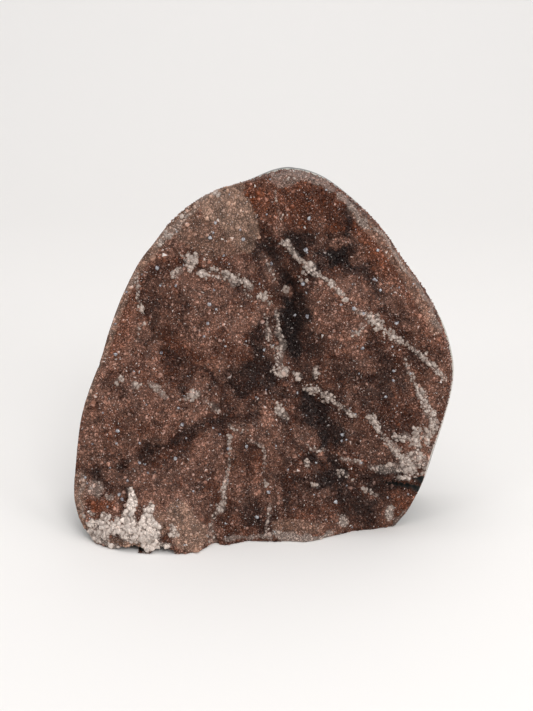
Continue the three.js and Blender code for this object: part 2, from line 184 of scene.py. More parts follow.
def closed_curve(points, count):
    """Evenly spaced points of the smooth closed curve through the given ones."""
    p = np.array(points, float)
    steps = np.linspace(0, 1, 24, endpoint=False)[:, None]
    runs = []
    for i in range(len(p)):
        a, b, c, d = p[i - 1], p[i], p[(i + 1) % len(p)], p[(i + 2) % len(p)]
        ta = -math.sqrt(np.linalg.norm(b - a))
        tc = math.sqrt(np.linalg.norm(c - b))
        td = tc + math.sqrt(np.linalg.norm(d - c))
        t = steps * tc
        ab = (-t * a + (t - ta) * b) / -ta
        bc = ((tc - t) * b + t * c) / tc
        cd = ((td - t) * c + (t - tc) * d) / (td - tc)
        abc = ((tc - t) * ab + (t - ta) * bc) / (tc - ta)
        bcd = ((td - t) * bc + t * cd) / td
        runs.append(((tc - t) * abc + t * bcd) / tc)
    dense = np.concatenate(runs + [runs[0][:1]])
    length = np.concatenate([[0], np.cumsum(np.linalg.norm(np.diff(dense, axis=0), axis=1))])
    at = np.linspace(0, length[-1], count, endpoint=False)
    return np.stack([np.interp(at, length, dense[:, k]) for k in (0, 1)], -1)


def from_line(a, b, u, v):
    """How far each place lies from the line between a and b, and how far along it the nearest point is."""
    (au, av), (bu, bv) = a[:2], b[:2]
    along = ((u - au) * (bu - au) + (v - av) * (bv - av)) / ((bu - au) ** 2 + (bv - av) ** 2)
    t = np.clip(along, 0, 1)
    return np.hypot(u - au - t * (bu - au), v - av - t * (bv - av)), t


def distance_to(path, u, v):
    """How far each place lies from a path."""
    nearest = np.full(np.shape(u), np.inf)
    for a, b in zip(path, path[1:]):
        nearest = np.minimum(nearest, from_line(a, b, u, v)[0])
    return nearest


def inside_stroke(stroke, u, v):
    """How deep a point lies in a brush stroke of changing width: 1 on its middle line, 0 at its rim."""
    depth = np.full(np.shape(u), -np.inf)
    for a, b in zip(stroke, stroke[1:]):
        away, t = from_line(a, b, u, v)
        depth = np.maximum(depth, 1 - away / (a[2] + t * (b[2] - a[2])))
    return depth


def smoothstep(low, high, x):
    """Rises from 0 at low to 1 at high, with soft ends."""
    t = np.clip((x - low) / (high - low), 0, 1)
    return t * t * (3 - 2 * t)


def strongest(strokes, u, v, ragged, low, high):
    """The strongest brush stroke at each place, where each has a strength and rims blurred low to high."""
    strength = np.zeros(np.shape(u))
    for most, stroke in strokes:
        depth = inside_stroke(stroke, u, v) + ragged
        strength = np.maximum(strength, most * smoothstep(low, high, depth))
    return strength


def lattice_chance(i, j, salt):
    """The same value from 0 to 1 each time for a lattice corner."""
    mixed = np.sin(i * 127.1 + j * 311.7 + salt * 74.7) * 43758.5453
    return mixed - np.floor(mixed)


def mottle(u, v, size, salt):
    """Smooth random values from -1 to 1, with blotches of the given size in mm."""
    i, j = np.floor(u / size), np.floor(v / size)
    a, b = u / size - i, v / size - j
    a, b = a * a * (3 - 2 * a), b * b * (3 - 2 * b)
    low = lattice_chance(i, j, salt) * (1 - a) + lattice_chance(i + 1, j, salt) * a
    high = lattice_chance(i, j + 1, salt) * (1 - a) + lattice_chance(i + 1, j + 1, salt) * a
    return 2 * (low * (1 - b) + high * b) - 1


def in_ellipse(u, v, place):
    """How deep a point lies in an ellipse (u, v, across, along, turn): 1 at its centre, 0 at its rim."""
    turn = math.radians(place[4])
    du, dv = u - place[0], v - place[1]
    across = (du * math.cos(turn) + dv * math.sin(turn)) / place[2]
    along = (dv * math.cos(turn) - du * math.sin(turn)) / place[3]
    return 1 - np.hypot(across, along)


def vein_strength(u, v):
    """How much of a place lies in a vein, from 0 to 1, with wandering, ragged sides."""
    wander_u = u + 0.25 * mottle(u, v, 4, 41) + 0.25 * mottle(u, v, 1.5, 42)
    wander_v = v + 0.25 * mottle(u, v, 4, 43) + 0.25 * mottle(u, v, 1.5, 44)
    return 0.6 * strongest(VEINS, wander_u, wander_v, 0.9 * mottle(u, v, 3.2, 45) - 0.25, -0.2, 0.4)


# The face is built on spokes from a hub, a hair inside the solid, so that no crystal stands past it.
HUB = np.array([0, 55])
CLEARANCE = 0.9965
RIM_PATH_POINTS = 112
rim = HUB + CLEARANCE * (closed_curve(OUTLINE, SPOKES) - HUB)
rim_path = [tuple(p) for p in closed_curve(OUTLINE, RIM_PATH_POINTS)]
rim_path.append(rim_path[0])

# Pale tan patches, and thin tan bands along the rim, which are painted light: the rim made paler where light
# comes through the edge. Each is how pale, and the path with its half widths.
TAN_PATCHES_AND_RIM_LIGHT = [
    (1, [(-17, 113, 4), (-13, 108, 7), (-9, 104, 5.5)]),
    (0.95, [(-7, 107, 3.5), (-4.5, 101.5, 3), (-2.5, 98, 1.5)]),
    (0.8, [(-9, 99, 3), (-5, 95, 2.5)]),
    (0.45, [(-26, 102, 5), (-17, 97, 6), (-9, 96, 4)]),
    (1, [(-42.5, 1.2, 2.2), (-38, 1.8, 1.6)]),
    (0.6, [(-48.5, 0.8, 1.4), (-46, 1.4, 1.4)]),
    (0.8, [(-25, 3, 4), (-23, 3, 5), (-27, 11, 4)]),
    (0.6, [(-59, 20, 2.5), (-60, 10, 2.5)]),
    (0.5, [(-33, 10, 2), (-32, 6, 2)]),
    # The thin bands along the outline, here and just below, are painted light on the rim.
    (0.7, [(-57, 44, 1.3), (-54, 55, 1.8), (-50, 64, 1.8),
           (-46.5, 72, 1.4), (-43, 81, 1.4), (-38.5, 89, 1.6)]),
    (0.7, [(-38.5, 89, 1.6), (-33, 96, 1.8), (-25, 104.5, 1.5), (-14, 111, 1.6), (-7, 113, 1.2)]),
    (0.45, [(27, 106, 1.5), (38, 95.5, 2), (44, 86.5, 2), (49, 79, 2.2), (54, 69, 2)]),
    (0.8, [(-60, 14, 1.2), (-59, 6, 1.6), (-55, -0.2, 1.2)]),
    (0.5, [(5, 5, 2.5), (12, 5, 2.5), (17, 4, 2)]),
]


def tan_and_rim_light_strength(u, v):
    """The pale tan patches and the painted rim light: the large patch at the upper left ends at its right in
    a sharp step.
    """
    return strongest(TAN_PATCHES_AND_RIM_LIGHT, u, v, 0.1 * mottle(u, v, 3, 51), -0.1, 0.15)


def chipped(u, v):
    """How ragged the rims of the bare places are."""
    return 0.2 * mottle(u, v, 1.6, 31)


def bare_strength(u, v):
    """1 where the crust is missing."""
    return strongest([(1, stroke) for _, stroke in BARE], u, v, chipped(u, v), -0.05, 0.15)


def crust_height(u, v):
    """w of the crust that the crystals grow from."""
    height = np.zeros(np.shape(u))
    for lump in LUMPS:
        height += lump[5] * np.exp(-((1 - in_ellipse(u, v, lump)) ** 3))
    for depth, width, path in CREASES:
        height -= depth * np.exp(-((distance_to(path, u, v) / width) ** 2))
    for depth, stroke in BARE:
        height -= depth * smoothstep(-0.1, 0.3, inside_stroke(stroke, u, v) + chipped(u, v))
    height += 0.5 * mottle(u, v, 4.3, 1) + 0.3 * mottle(u, v, 1.9, 2)
    height += 0.5 * vein_strength(u, v)
    return height - EDGE_ROLL * (1 - smoothstep(0, EDGE_ROLL_WIDTH, distance_to(rim_path, u, v)))


def edge_at(w, lift=0):
    """Where the sawn edge or foot lies at depth w, one place for each spoke, the foot raised by lift."""
    u = rim[:, 0] + np.interp(w, FLARE_W, FLARE_RIGHT) * (rim[:, 0] - LEFTMOST) / FACE_SPAN
    upward = smoothstep(FLARES_UP_FROM, FLARES_UP_FULL, rim[:, 0])
    v = rim[:, 1] + upward * np.interp(w, FLARE_W, FLARE_UP) * rim[:, 1] / FACE_SPAN
    floor = lift - w * math.tan(LEAN)
    share = np.where(v < floor, (HUB[1] - floor) / (HUB[1] - np.minimum(v, floor - 1e-6)), 1)
    return HUB[0] + share * (u - HUB[0]), HUB[1] + share * (v - HUB[1])


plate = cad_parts["druzy_plate"]
solid_tree = BVHTree.FromPolygons(
    [v.co for v in plate.data.vertices], [tuple(p.vertices) for p in plate.data.polygons]
)
# The solid's back is felt for by rays from well behind it, a little inside its outline and above its foot.
PULL_IN = 0.985
LOWEST_LOOK = 0.6
WELL_BEHIND = 200
USUAL_DEPTH = 20


def broken_back(x, z):
    """How far back the broken rear face stands at each x and z, read off the solid from behind, in mm."""
    depths = []
    for px, pz in zip(x * PULL_IN, np.maximum((z - HUB[1]) * PULL_IN + HUB[1], LOWEST_LOOK)):
        hit = solid_tree.ray_cast(Vector((px * MM, WELL_BEHIND * MM, pz * MM)), Vector((0, -1, 0)))[0]
        depths.append(hit.y / MM if hit else USUAL_DEPTH)
    steps = np.abs(mottle(x, z, 8, 7)) + np.abs(mottle(x + z, z - x, 5, 8))
    rough = 1.1 * steps + 0.5 * mottle(x, z, 2.9, 5) + 0.35 * mottle(x, z, 1.5, 6)
    return np.minimum(np.array(depths) + rough - 1.5, solid_box[1][1] / MM - 0.1)


# The foot's front is worn: its first few millimetres lie a little above the floor.
CHIPPED_FOOT = 0.15
CHIP_DEPTH = 2.5
# The edge leans with its depth, so the front and the rear of it are found in a few rounds.
ROUNDS = 10
front_w = np.zeros(SPOKES)
back_w = np.full(SPOKES, -18.0)
for _ in range(ROUNDS):
    front_w = crust_height(*edge_at(front_w, CHIPPED_FOOT))
    u, v = edge_at(back_w)
    z = v * math.cos(LEAN) + back_w * math.sin(LEAN)
    back_w = (v * math.sin(LEAN) - FOOT_TO_FACE - broken_back(u, z)) / math.cos(LEAN)

# Along the crown and the upper right the crust turns back over the rim: how far, for each bearing.
ROLLED_BEARINGS = (-25, 0, 40, 105, 125)
ROLLED_DEPTHS = (0, 5.5, 11, 14.5, 0)
bearing = np.degrees(np.arctan2(rim[:, 1] - HUB[1], rim[:, 0] - HUB[0]))
rolled_back = np.interp(bearing, ROLLED_BEARINGS, ROLLED_DEPTHS, left=0, right=0)

# The slab's rings of points run out over the front, back along the edge, and in over the rear.
FRONT_RINGS, EDGE_STEPS, BACK_RINGS = 84, 24, 56
DEEP_IN_ROCK = 30.0
rings, behind = [], []
front_u, front_v = edge_at(front_w, CHIPPED_FOOT)
for t in np.linspace(0, 1, FRONT_RINGS + 1)[1:]:
    u, v = HUB[0] + t * (front_u - HUB[0]), HUB[1] + t * (front_v - HUB[1])
    rings.append(on_face(u, v, front_w if t == 1 else crust_height(u, v)))
    behind.append(np.zeros(len(u)))
for t in np.linspace(0, 1, EDGE_STEPS + 1)[1:]:
    w = front_w + t ** 1.5 * (back_w - front_w)
    rings.append(on_face(*edge_at(w, CHIPPED_FOOT * (1 - smoothstep(0, CHIP_DEPTH, front_w - w))), w))
    behind.append(front_w - w)
back_rim = rings[-1] / MM
for t in np.linspace(1, 0, BACK_RINGS, endpoint=False)[1:]:
    x = t * back_rim[:, 0]
    z = HUB[1] + t * (back_rim[:, 2] - HUB[1])
    rings.append(MM * np.stack([x, broken_back(x, z), z], -1))
    behind.append(np.full(len(x), DEEP_IN_ROCK))

points = np.concatenate(rings)
front_hub = on_face(*HUB, crust_height(HUB[:1], HUB[1:]))
rear_hub = MM * np.array([[HUB[0], broken_back(HUB[:1], HUB[1:])[0], HUB[1]]])
points = np.concatenate([points, front_hub.reshape(1, 3), rear_hub])
points[:, 2] = np.maximum(points[:, 2], 0)

i = np.arange(SPOKES)
j = (i + 1) % SPOKES
corners, finish, chart = [], [], []
last = len(rings) - 1
PICTURE_SPAN = 270
EDGE_STRIP_HIGH = 0.48
CRUST, SAWN, BROKEN = 0, 1, 2


def planar(p, left):
    """A place on the baked picture for a point seen from the front, in one of its two upper halves."""
    return np.stack([left + 0.24 + p[:, 0] / MM / PICTURE_SPAN, 0.52 + p[:, 2] / MM / PICTURE_SPAN], -1)


def strip(spoke, k):
    """A place in the strip below them, which has the edge laid out flat."""
    high = EDGE_STRIP_HIGH * (k - FRONT_RINGS + 1) / EDGE_STEPS
    return np.stack([spoke / SPOKES, np.full(len(spoke), high)], -1)


for k in range(last):
    a, b = k * SPOKES, (k + 1) * SPOKES
    tris = np.concatenate([np.stack([a + i, b + i, b + j], -1), np.stack([a + i, b + j, a + j], -1)])
    corners.append(tris)
    kind = CRUST if k < FRONT_RINGS - 1 else SAWN if k < FRONT_RINGS + EDGE_STEPS - 1 else BROKEN
    crusted = behind[k + 1] < rolled_back if kind == SAWN else np.zeros(SPOKES, bool)
    finish.append(np.where(np.tile(crusted, 2), CRUST, kind))
    if kind == SAWN:
        low = [strip(i, k), strip(i, k + 1), strip(i + 1, k + 1)]
        high = [strip(i, k), strip(i + 1, k + 1), strip(i + 1, k)]
        chart.append(np.concatenate([np.stack(low, 1), np.stack(high, 1)]))
    else:
        chart.append(planar(points, 0 if kind == CRUST else 0.5)[tris])
hubs = [(len(points) - 2, i, j, CRUST), (len(points) - 1, last * SPOKES + j, last * SPOKES + i, BROKEN)]
for hub, a, b, kind in hubs:
    tris = np.stack([np.full(SPOKES, hub), a, b], -1)
    corners.append(tris)
    finish.append(np.full(SPOKES, kind))
    chart.append(planar(points, 0 if kind == CRUST else 0.5)[tris])


# Where the quartz is tinted rusty orange, where it is smoky and, along its creases and hollows, darkened
# with painted shade, where that clears again, where it is rosy, where it is frosted white, and where its rim
# is made pale with painted light. Each is a strength and a brush stroke of places with half widths.
# Rusty orange, mostly along the rim.
ORANGE_TINT = [
    (0.9, [(-4, 110, 4), (6, 110, 7), (16, 110, 6), (24, 104, 5)]),
    (1, [(29, 103, 3), (33, 98, 4.5), (45, 83, 4)]),
    (0.5, [(46, 84, 5), (52, 74, 5), (56, 62, 4)]),
    (0.6, [(-41, 85, 2), (-44, 74, 4), (-48, 64, 4)]),
    (0.9, [(-57, 13, 2.5), (-53, 12.5, 2.5), (-50, 12, 1.5)]),
    (0.7, [(42, 14, 4), (46, 11, 4)]),
    (0.5, [(-4, 28, 3.5), (-5, 22, 3)]),
    (0.4, [(-28, 62, 6), (-20, 58, 5)]),
    (0.4, [(40, 45, 5), (44, 44, 4)]),
    (0.4, [(7, 6, 4), (14, 6, 4)]),
]
# Smoky quartz and painted shade: many strokes follow the creases, and their near black stands in for shade.
SMOKE_AND_SHADE = [
    (0.85, [(-3, 97, 2), (1, 94, 4.5), (2, 88, 4.5), (5, 84, 4), (8, 81, 3)]),
    (1, [(7, 82, 3), (8.5, 75, 3.4), (8.5, 68, 4), (9.5, 61, 3.5)]),
    (0.8, [(12, 97, 2.5), (15.5, 96.5, 2), (13, 94, 2)]),
    (0.95, [(26, 107, 2.2), (26.5, 101, 2.6), (26.5, 96, 3), (24, 91.5, 4), (22, 88, 2.5)]),
    (0.7, [(26, 88, 2.5), (32, 87, 2.5), (37, 85, 2.5)]),
    (0.45, [(19, 94, 2.5), (16, 92, 2.5), (19, 89, 3)]),
    (0.6, [(38, 75, 2), (42, 74, 2.8), (46, 72, 2.5)]),
    (0.55, [(33, 67, 2), (34, 65, 2.5), (36, 60, 3.5), (36, 55, 4), (39, 51, 4)]),
    (0.45, [(30, 57, 4), (24, 54, 4), (30, 48, 5), (38, 45, 4)]),
    (0.4, [(24, 36, 4), (30, 33, 5), (36, 30, 4)]),
    (0.7, [(-22, 55, 2.5), (-14, 52.5, 3.5), (-6, 52, 4), (0, 51, 3.5)]),
    (0.85, [(-4, 56, 4), (1, 52, 3), (1, 58, 2.5), (-2, 62, 3)]),
    (0.6, [(-30, 60, 2.5), (-26, 57.5, 3.5), (-18, 55, 3)]),
    (0.5, [(2.5, 48, 2.5), (9, 47, 2.5), (10, 50, 2)]),
    (0.95, [(15.5, 45, 2.5), (18.5, 42, 3.2), (20.5, 37, 3), (19.5, 32, 2.5)]),
    (0.5, [(12, 38, 4), (15, 34, 4)]),
    (0.85, [(14, 28, 1.8), (17, 26.5, 2), (22.5, 26, 2.2), (24, 24, 1.6)]),
    (0.65, [(18, 22, 3), (20, 17, 4), (26, 16, 4), (30, 13, 3)]),
    (0.75, [(30, 13, 3), (33, 8, 4.5), (34, 4, 3)]),
    (0.6, [(-5, 12, 3.5), (-4, 8, 4), (4, 12, 4), (7, 9, 3)]),
    (0.4, [(2, 22, 4), (10, 20, 4), (12, 12, 4)]),
    (0.7, [(-58, 23, 2), (-54, 22, 2.5), (-50, 21, 2.5),
           (-46, 24.5, 2.5), (-41, 26, 2.2), (-36.5, 29, 2.5)]),
    (0.8, [(-36.5, 29, 2.5), (-34, 31.5, 2.5), (-27, 33, 2.2),
           (-23, 36, 2.2), (-17, 38.5, 2.4), (-13.5, 39.5, 2.4)]),
    (0.5, [(-14, 38, 2), (-13.5, 30, 2.5), (-14, 25, 2)]),
    (0.5, [(-35.5, 87, 2.5), (-34.5, 80, 3), (-36, 74, 2.6), (-35, 66, 3)]),
    (0.45, [(-13, 83, 2), (-12, 77, 3), (-15, 73, 2)]),
    (0.3, [(-31, 79, 3), (-27, 74, 3), (-28, 67, 3)]),
    (0.35, [(2, 113, 2), (8, 110, 4), (17, 110, 4), (20, 106, 4)]),
    (0.3, [(-20, 18, 3), (-18, 13, 3)]),
    (0.8, [(-1, 68, 2.5), (1, 61, 2.5)]),
    (0.7, [(14, 64, 3.5), (17, 62, 3)]),
    (0.6, [(9, 59, 2.5), (13, 54, 2.5)]),
    (0.75, [(38, 58, 3.5), (38, 48, 4)]),
    (0.95, [(13.5, 46, 2.5), (15.5, 38, 3)]),
    (0.9, [(21, 38, 3), (24.5, 33.5, 3)]),
    (0.5, [(7, 40, 2.5), (7, 33, 2.5), (8, 26, 2.5)]),
    (0.6, [(-12, 45, 3), (-3, 43, 3)]),
    (0.5, [(-6, 33, 2), (-6, 21, 2)]),
    (0.8, [(24.5, 18, 3), (26.5, 7, 2.5)]),
    (0.75, [(32, 19, 2.5), (38, 17, 3.5), (42, 18, 2.5)]),
    (0.5, [(12, 82, 2), (16, 87, 2)]),
    (0.5, [(33, 85, 2.5), (36, 79, 3)]),
    (0.4, [(-26, 77, 3), (-17, 74, 4)]),
    (0.35, [(-5, 85, 2), (-7, 79, 2)]),
    (0.35, [(-19, 93, 2.5), (-15, 92, 2)]),
    (0.3, [(-48, 52, 3), (-40, 48, 4), (-41, 42, 3)]),
    (0.3, [(-30, 31, 3), (-30, 20, 4)]),
    (0.4, [(-44, 18, 2), (-53, 17, 2.5)]),
    (0.45, [(40, 41, 3), (47, 43, 3)]),
    (0.45, [(46, 66, 2.5), (53, 61, 3)]),
    (0.4, [(-3, 9, 2), (4, 6, 3)]),
    (0.5, [(46, 61.5, 2), (55, 60, 2.5)]),
    (0.5, [(41, 68.5, 1.5), (47, 66, 2)]),
    (0.65, [(18, 36, 2), (21, 31, 2.5)]),
    (0.5, [(-1, 19, 2.5), (6, 18, 3)]),
    (0.65, [(10, 19, 2.5), (21, 18.5, 3), (24, 19, 2)]),
    (0.85, [(35, 16, 2.5), (42, 17, 2.5)]),
    (0.4, [(-25, 57, 2.5), (-24, 48, 2)]),
    (0.75, [(8.5, 97, 2), (11, 89, 2.5)]),
    (0.6, [(22, 106, 2.5), (24, 103, 2)]),
    (0.6, [(22, 46.5, 2.5), (30, 46, 3), (35, 46, 3)]),
    (0.7, [(26, 55.5, 2), (31, 53, 2.5), (38, 53.5, 3)]),
    (0.6, [(47.5, 61, 2), (52, 59, 2)]),
    (0.6, [(11, 34, 2.5), (14, 32, 2.5)]),
    (0.5, [(-10, 41, 2), (-13, 38, 2)]),
    (0.5, [(36, 38.5, 2.5), (40, 38, 2)]),
    (0.5, [(43.5, 37, 2), (43, 34, 2)]),
    (0.5, [(38, 26, 3), (43, 24, 2)]),
    (0.9, [(8, 98, 2), (11.5, 91, 2.5)]),
    (0.8, [(17, 88, 2), (16, 85, 1.5)]),
    (0.8, [(35, 85, 2), (37, 78, 2)]),
    (0.9, [(3, 73, 2), (8, 74, 3), (11, 77, 3), (13, 74, 2)]),
    (0.8, [(0, 61.5, 2.5), (9, 64, 2.5)]),
    (0.6, [(15, 67, 2), (17, 67, 1.5)]),
    (0.8, [(-9, 47, 2.5), (-5, 51, 2.5), (-1, 54, 2)]),
    (0.6, [(-5, 39, 3), (-2, 34, 3)]),
    (0.55, [(33, 45, 3), (35, 41, 2)]),
    (0.65, [(4, 20, 2.5), (7, 14, 2.5)]),
    (0.95, [(18.5, 18.5, 3), (25, 21, 2.5)]),
    (0.8, [(42, 21, 2), (44, 25, 2)]),
    (0.75, [(39, 11, 2.5), (34, 17, 2)]),
    (0.7, [(-48, 22, 2.5), (-43, 17, 2)]),
    (0.5, [(-13, 81, 2), (-8, 83, 1.5)]),
    (1, [(18.5, 91.5, 2), (24.5, 89, 2), (29, 89, 2)]),
    (0.8, [(-10, 54.5, 2), (-10, 50, 2), (-4, 52, 2)]),
    (0.6, [(-43, 19, 2), (-44, 15, 1.6)]),
    (0.5, [(-51, 23, 2), (-39.5, 22.5, 2)]),
    (0.8, [(38, 22, 2), (43, 21, 2.2)]),
    (0.6, [(4, 20, 2), (6, 12, 2), (-0.5, 4, 2.4)]),
    (0.5, [(42.5, 55.5, 2), (45, 47.5, 2)]),
    (0.5, [(-1, 98.5, 2), (-2, 96, 2)]),
    (0.5, [(16, 88.5, 1.8), (18, 83.5, 1.8)]),
    (0.45, [(31.5, 104, 2), (27, 101, 2)]),
    (0.8, [(22.5, 96.5, 2), (26, 97, 2)]),
    (0.6, [(10, 78, 2), (4.5, 72, 2.4), (4.5, 68.5, 2)]),
    (0.5, [(15, 60, 1.8), (10, 58, 1.8), (9.5, 55, 1.6)]),
    (0.7, [(20.5, 46, 2), (23, 45, 2)]),
    (0.7, [(38, 23.5, 1.8), (44.5, 20.5, 1.6)]),
]
CLEAR = [
    (0.3, [(-34, 80, 4), (-32, 74, 3)]),
    (0.8, [(-40, 88, 2.5), (-33, 94, 4), (-28, 97, 4)]),
    (0.6, [(-23, 69, 4.5), (-20, 64, 3)]),
    (0.7, [(-46, 60, 4), (-42, 67, 4)]),
    (0.6, [(-18, 35, 3), (-14, 25, 3), (-10, 17, 3)]),
    (0.4, [(-51, 33, 3), (-44, 30, 4), (-39, 34, 3)]),
    (0.8, [(-59, 14, 3), (-58, 7, 3), (-53, 2, 2)]),
    (0.8, [(-40, 13, 3), (-30, 11, 4)]),
    (0.7, [(48, 31, 3), (48, 27, 2)]),
    (0.6, [(47, 73, 4), (52, 67, 3)]),
    (0.6, [(28, 80, 5), (31, 73, 4), (27, 66, 4)]),
    (0.7, [(38, 78, 2.5), (40, 76, 2)]),
    (0.7, [(29, 99, 3), (31, 96, 3)]),
    (0.7, [(2, 112, 3), (3, 107, 3)]),
    (0.5, [(56, 52, 3), (54, 47, 3)]),
    (0.6, [(11, 38, 2), (15, 34, 2.5)]),
    (0.5, [(1, 23, 3), (3, 12, 4)]),
    (0.5, [(10, 4, 4), (24, 5, 3)]),
    (0.5, [(40, 9, 3), (42, 7, 2)]),
    (0.9, [(-54, 55, 2), (-57, 45, 2.5)]),
    (0.6, [(-34, 59, 2.5), (-34, 63, 2)]),
    (0.5, [(-44, 53, 1.5), (-37, 52, 2)]),
    (0.6, [(-59, 22, 2), (-60, 12, 2)]),
    (0.6, [(-46, 16, 2), (-50, 11, 2.5)]),
    (0.8, [(52, 33, 2), (49, 27, 2.5)]),
    (0.7, [(49, 37, 2), (52, 43, 2)]),
    (0.6, [(-44, 76, 2), (-42, 82, 2)]),
    (0.7, [(-20, 81, 4), (-13, 80, 3)]),
    (0.6, [(-22, 71, 4), (-13, 72, 4)]),
    (0.6, [(-1, 75, 2), (-3, 70, 2)]),
    (0.6, [(-11, 45.5, 2), (-8, 44, 2)]),
    (0.6, [(6, 30.5, 2), (9, 29.5, 2)]),
    (0.7, [(18, 28, 1.6), (19, 26, 1.2)]),
    (0.7, [(5, 102, 2), (6, 99, 2)]),
    (0.6, [(18.5, 82, 2), (21.5, 80, 2)]),
    (0.6, [(31, 61, 2), (31.5, 57, 2)]),
    (0.8, [(-53, 34, 3), (-52, 28, 3)]),
    (0.6, [(-41, 26, 2), (-38, 20, 3), (-50, 22, 2)]),
    (0.9, [(36, 98, 2.5), (44, 85, 3), (48, 79, 2.5)]),
    (0.9, [(39, 87, 3), (41, 81, 3)]),
    (0.8, [(-49, 67, 2), (-47, 62, 2.5), (-45, 68, 2)]),
    (0.8, [(6.5, 80.5, 1.6), (8, 79.5, 1.4)]),
    (0.8, [(-19, 52, 2.5), (-19, 46, 2)]),
    (0.8, [(-10, 76, 2), (-9, 72, 2)]),
    (0.6, [(-17, 89, 1.5), (-15, 86, 1.5)]),
    (0.5, [(-9, 90, 2), (-5, 88, 2)]),
    (0.7, [(-3, 24, 2), (-2, 17, 2)]),
    (0.9, [(-51.5, 55, 2.4), (-53, 51.5, 2)]),
    (0.8, [(-40, 71, 2.4), (-36.5, 66, 2)]),
    (0.8, [(-7, 36, 2.4), (-3.5, 35.5, 2)]),
    (0.8, [(23, 94.5, 1.6), (25.5, 96, 1.6)]),
    (0.6, [(27.5, 49.5, 1.8), (26, 46, 1.5)]),
    (0.6, [(3, 75, 1.6), (2, 73, 1.4)]),
    (0.7, [(-21, 58, 1.8), (-13, 58, 2), (-12.5, 53.5, 1.8)]),
    (0.6, [(0.5, 92, 1.6), (1, 87, 1.8), (2.5, 83, 1.6)]),
    (0.5, [(29.5, 90, 1.6), (34, 89, 1.6)]),
    (0.5, [(2, 63.5, 1.6), (3.5, 59, 1.8)]),
    (0.6, [(18.5, 16, 1.5), (19.5, 14.5, 1.4)]),
    (0.6, [(-35.5, 32.5, 1.5), (-31, 33, 1.5)]),
]
ROSE = [
    (0.8, [(-24, 84, 3), (-20, 80, 5), (-17, 75, 3)]),
    (0.7, [(-11, 72, 4), (-7, 72, 3), (-9, 66, 3)]),
    (0.6, [(16, 75, 5), (22, 72, 6), (26, 64, 5)]),
    (0.9, [(42, 84, 3), (48, 76, 5), (54, 66, 4), (57, 58, 3)]),
    (0.8, [(-43, 76, 3.5), (-47, 67, 4), (-51, 60, 3)]),
    (0.6, [(-50, 47, 4), (-40, 45, 6), (-27, 43, 6), (-20, 42, 4)]),
    (1, [(-33, 17, 4), (-26, 13, 7), (-23, 4, 6)]),
    (0.6, [(-20, 31, 3), (-22, 26, 4), (-30, 22, 4)]),
    (0.6, [(-2, 42, 3), (1, 38, 5), (3, 28, 3)]),
    (0.6, [(26, 36, 3), (34, 32, 4), (42, 26, 3)]),
    (0.4, [(33, 48, 4), (45, 50, 6), (52, 55, 4)]),
    (0.7, [(-56, 28, 4), (-58, 34, 4), (-52, 40, 4)]),
    (0.9, [(-58, 17, 3), (-55, 17.5, 3)]),
    (0.8, [(32, 92, 3), (36, 93, 3)]),
    (0.5, [(34, 12, 2), (43, 14, 3)]),
    (0.5, [(8, 112, 3), (14, 113, 2)]),
    (0.6, [(-8, 30, 2), (-6, 14, 2)]),
]
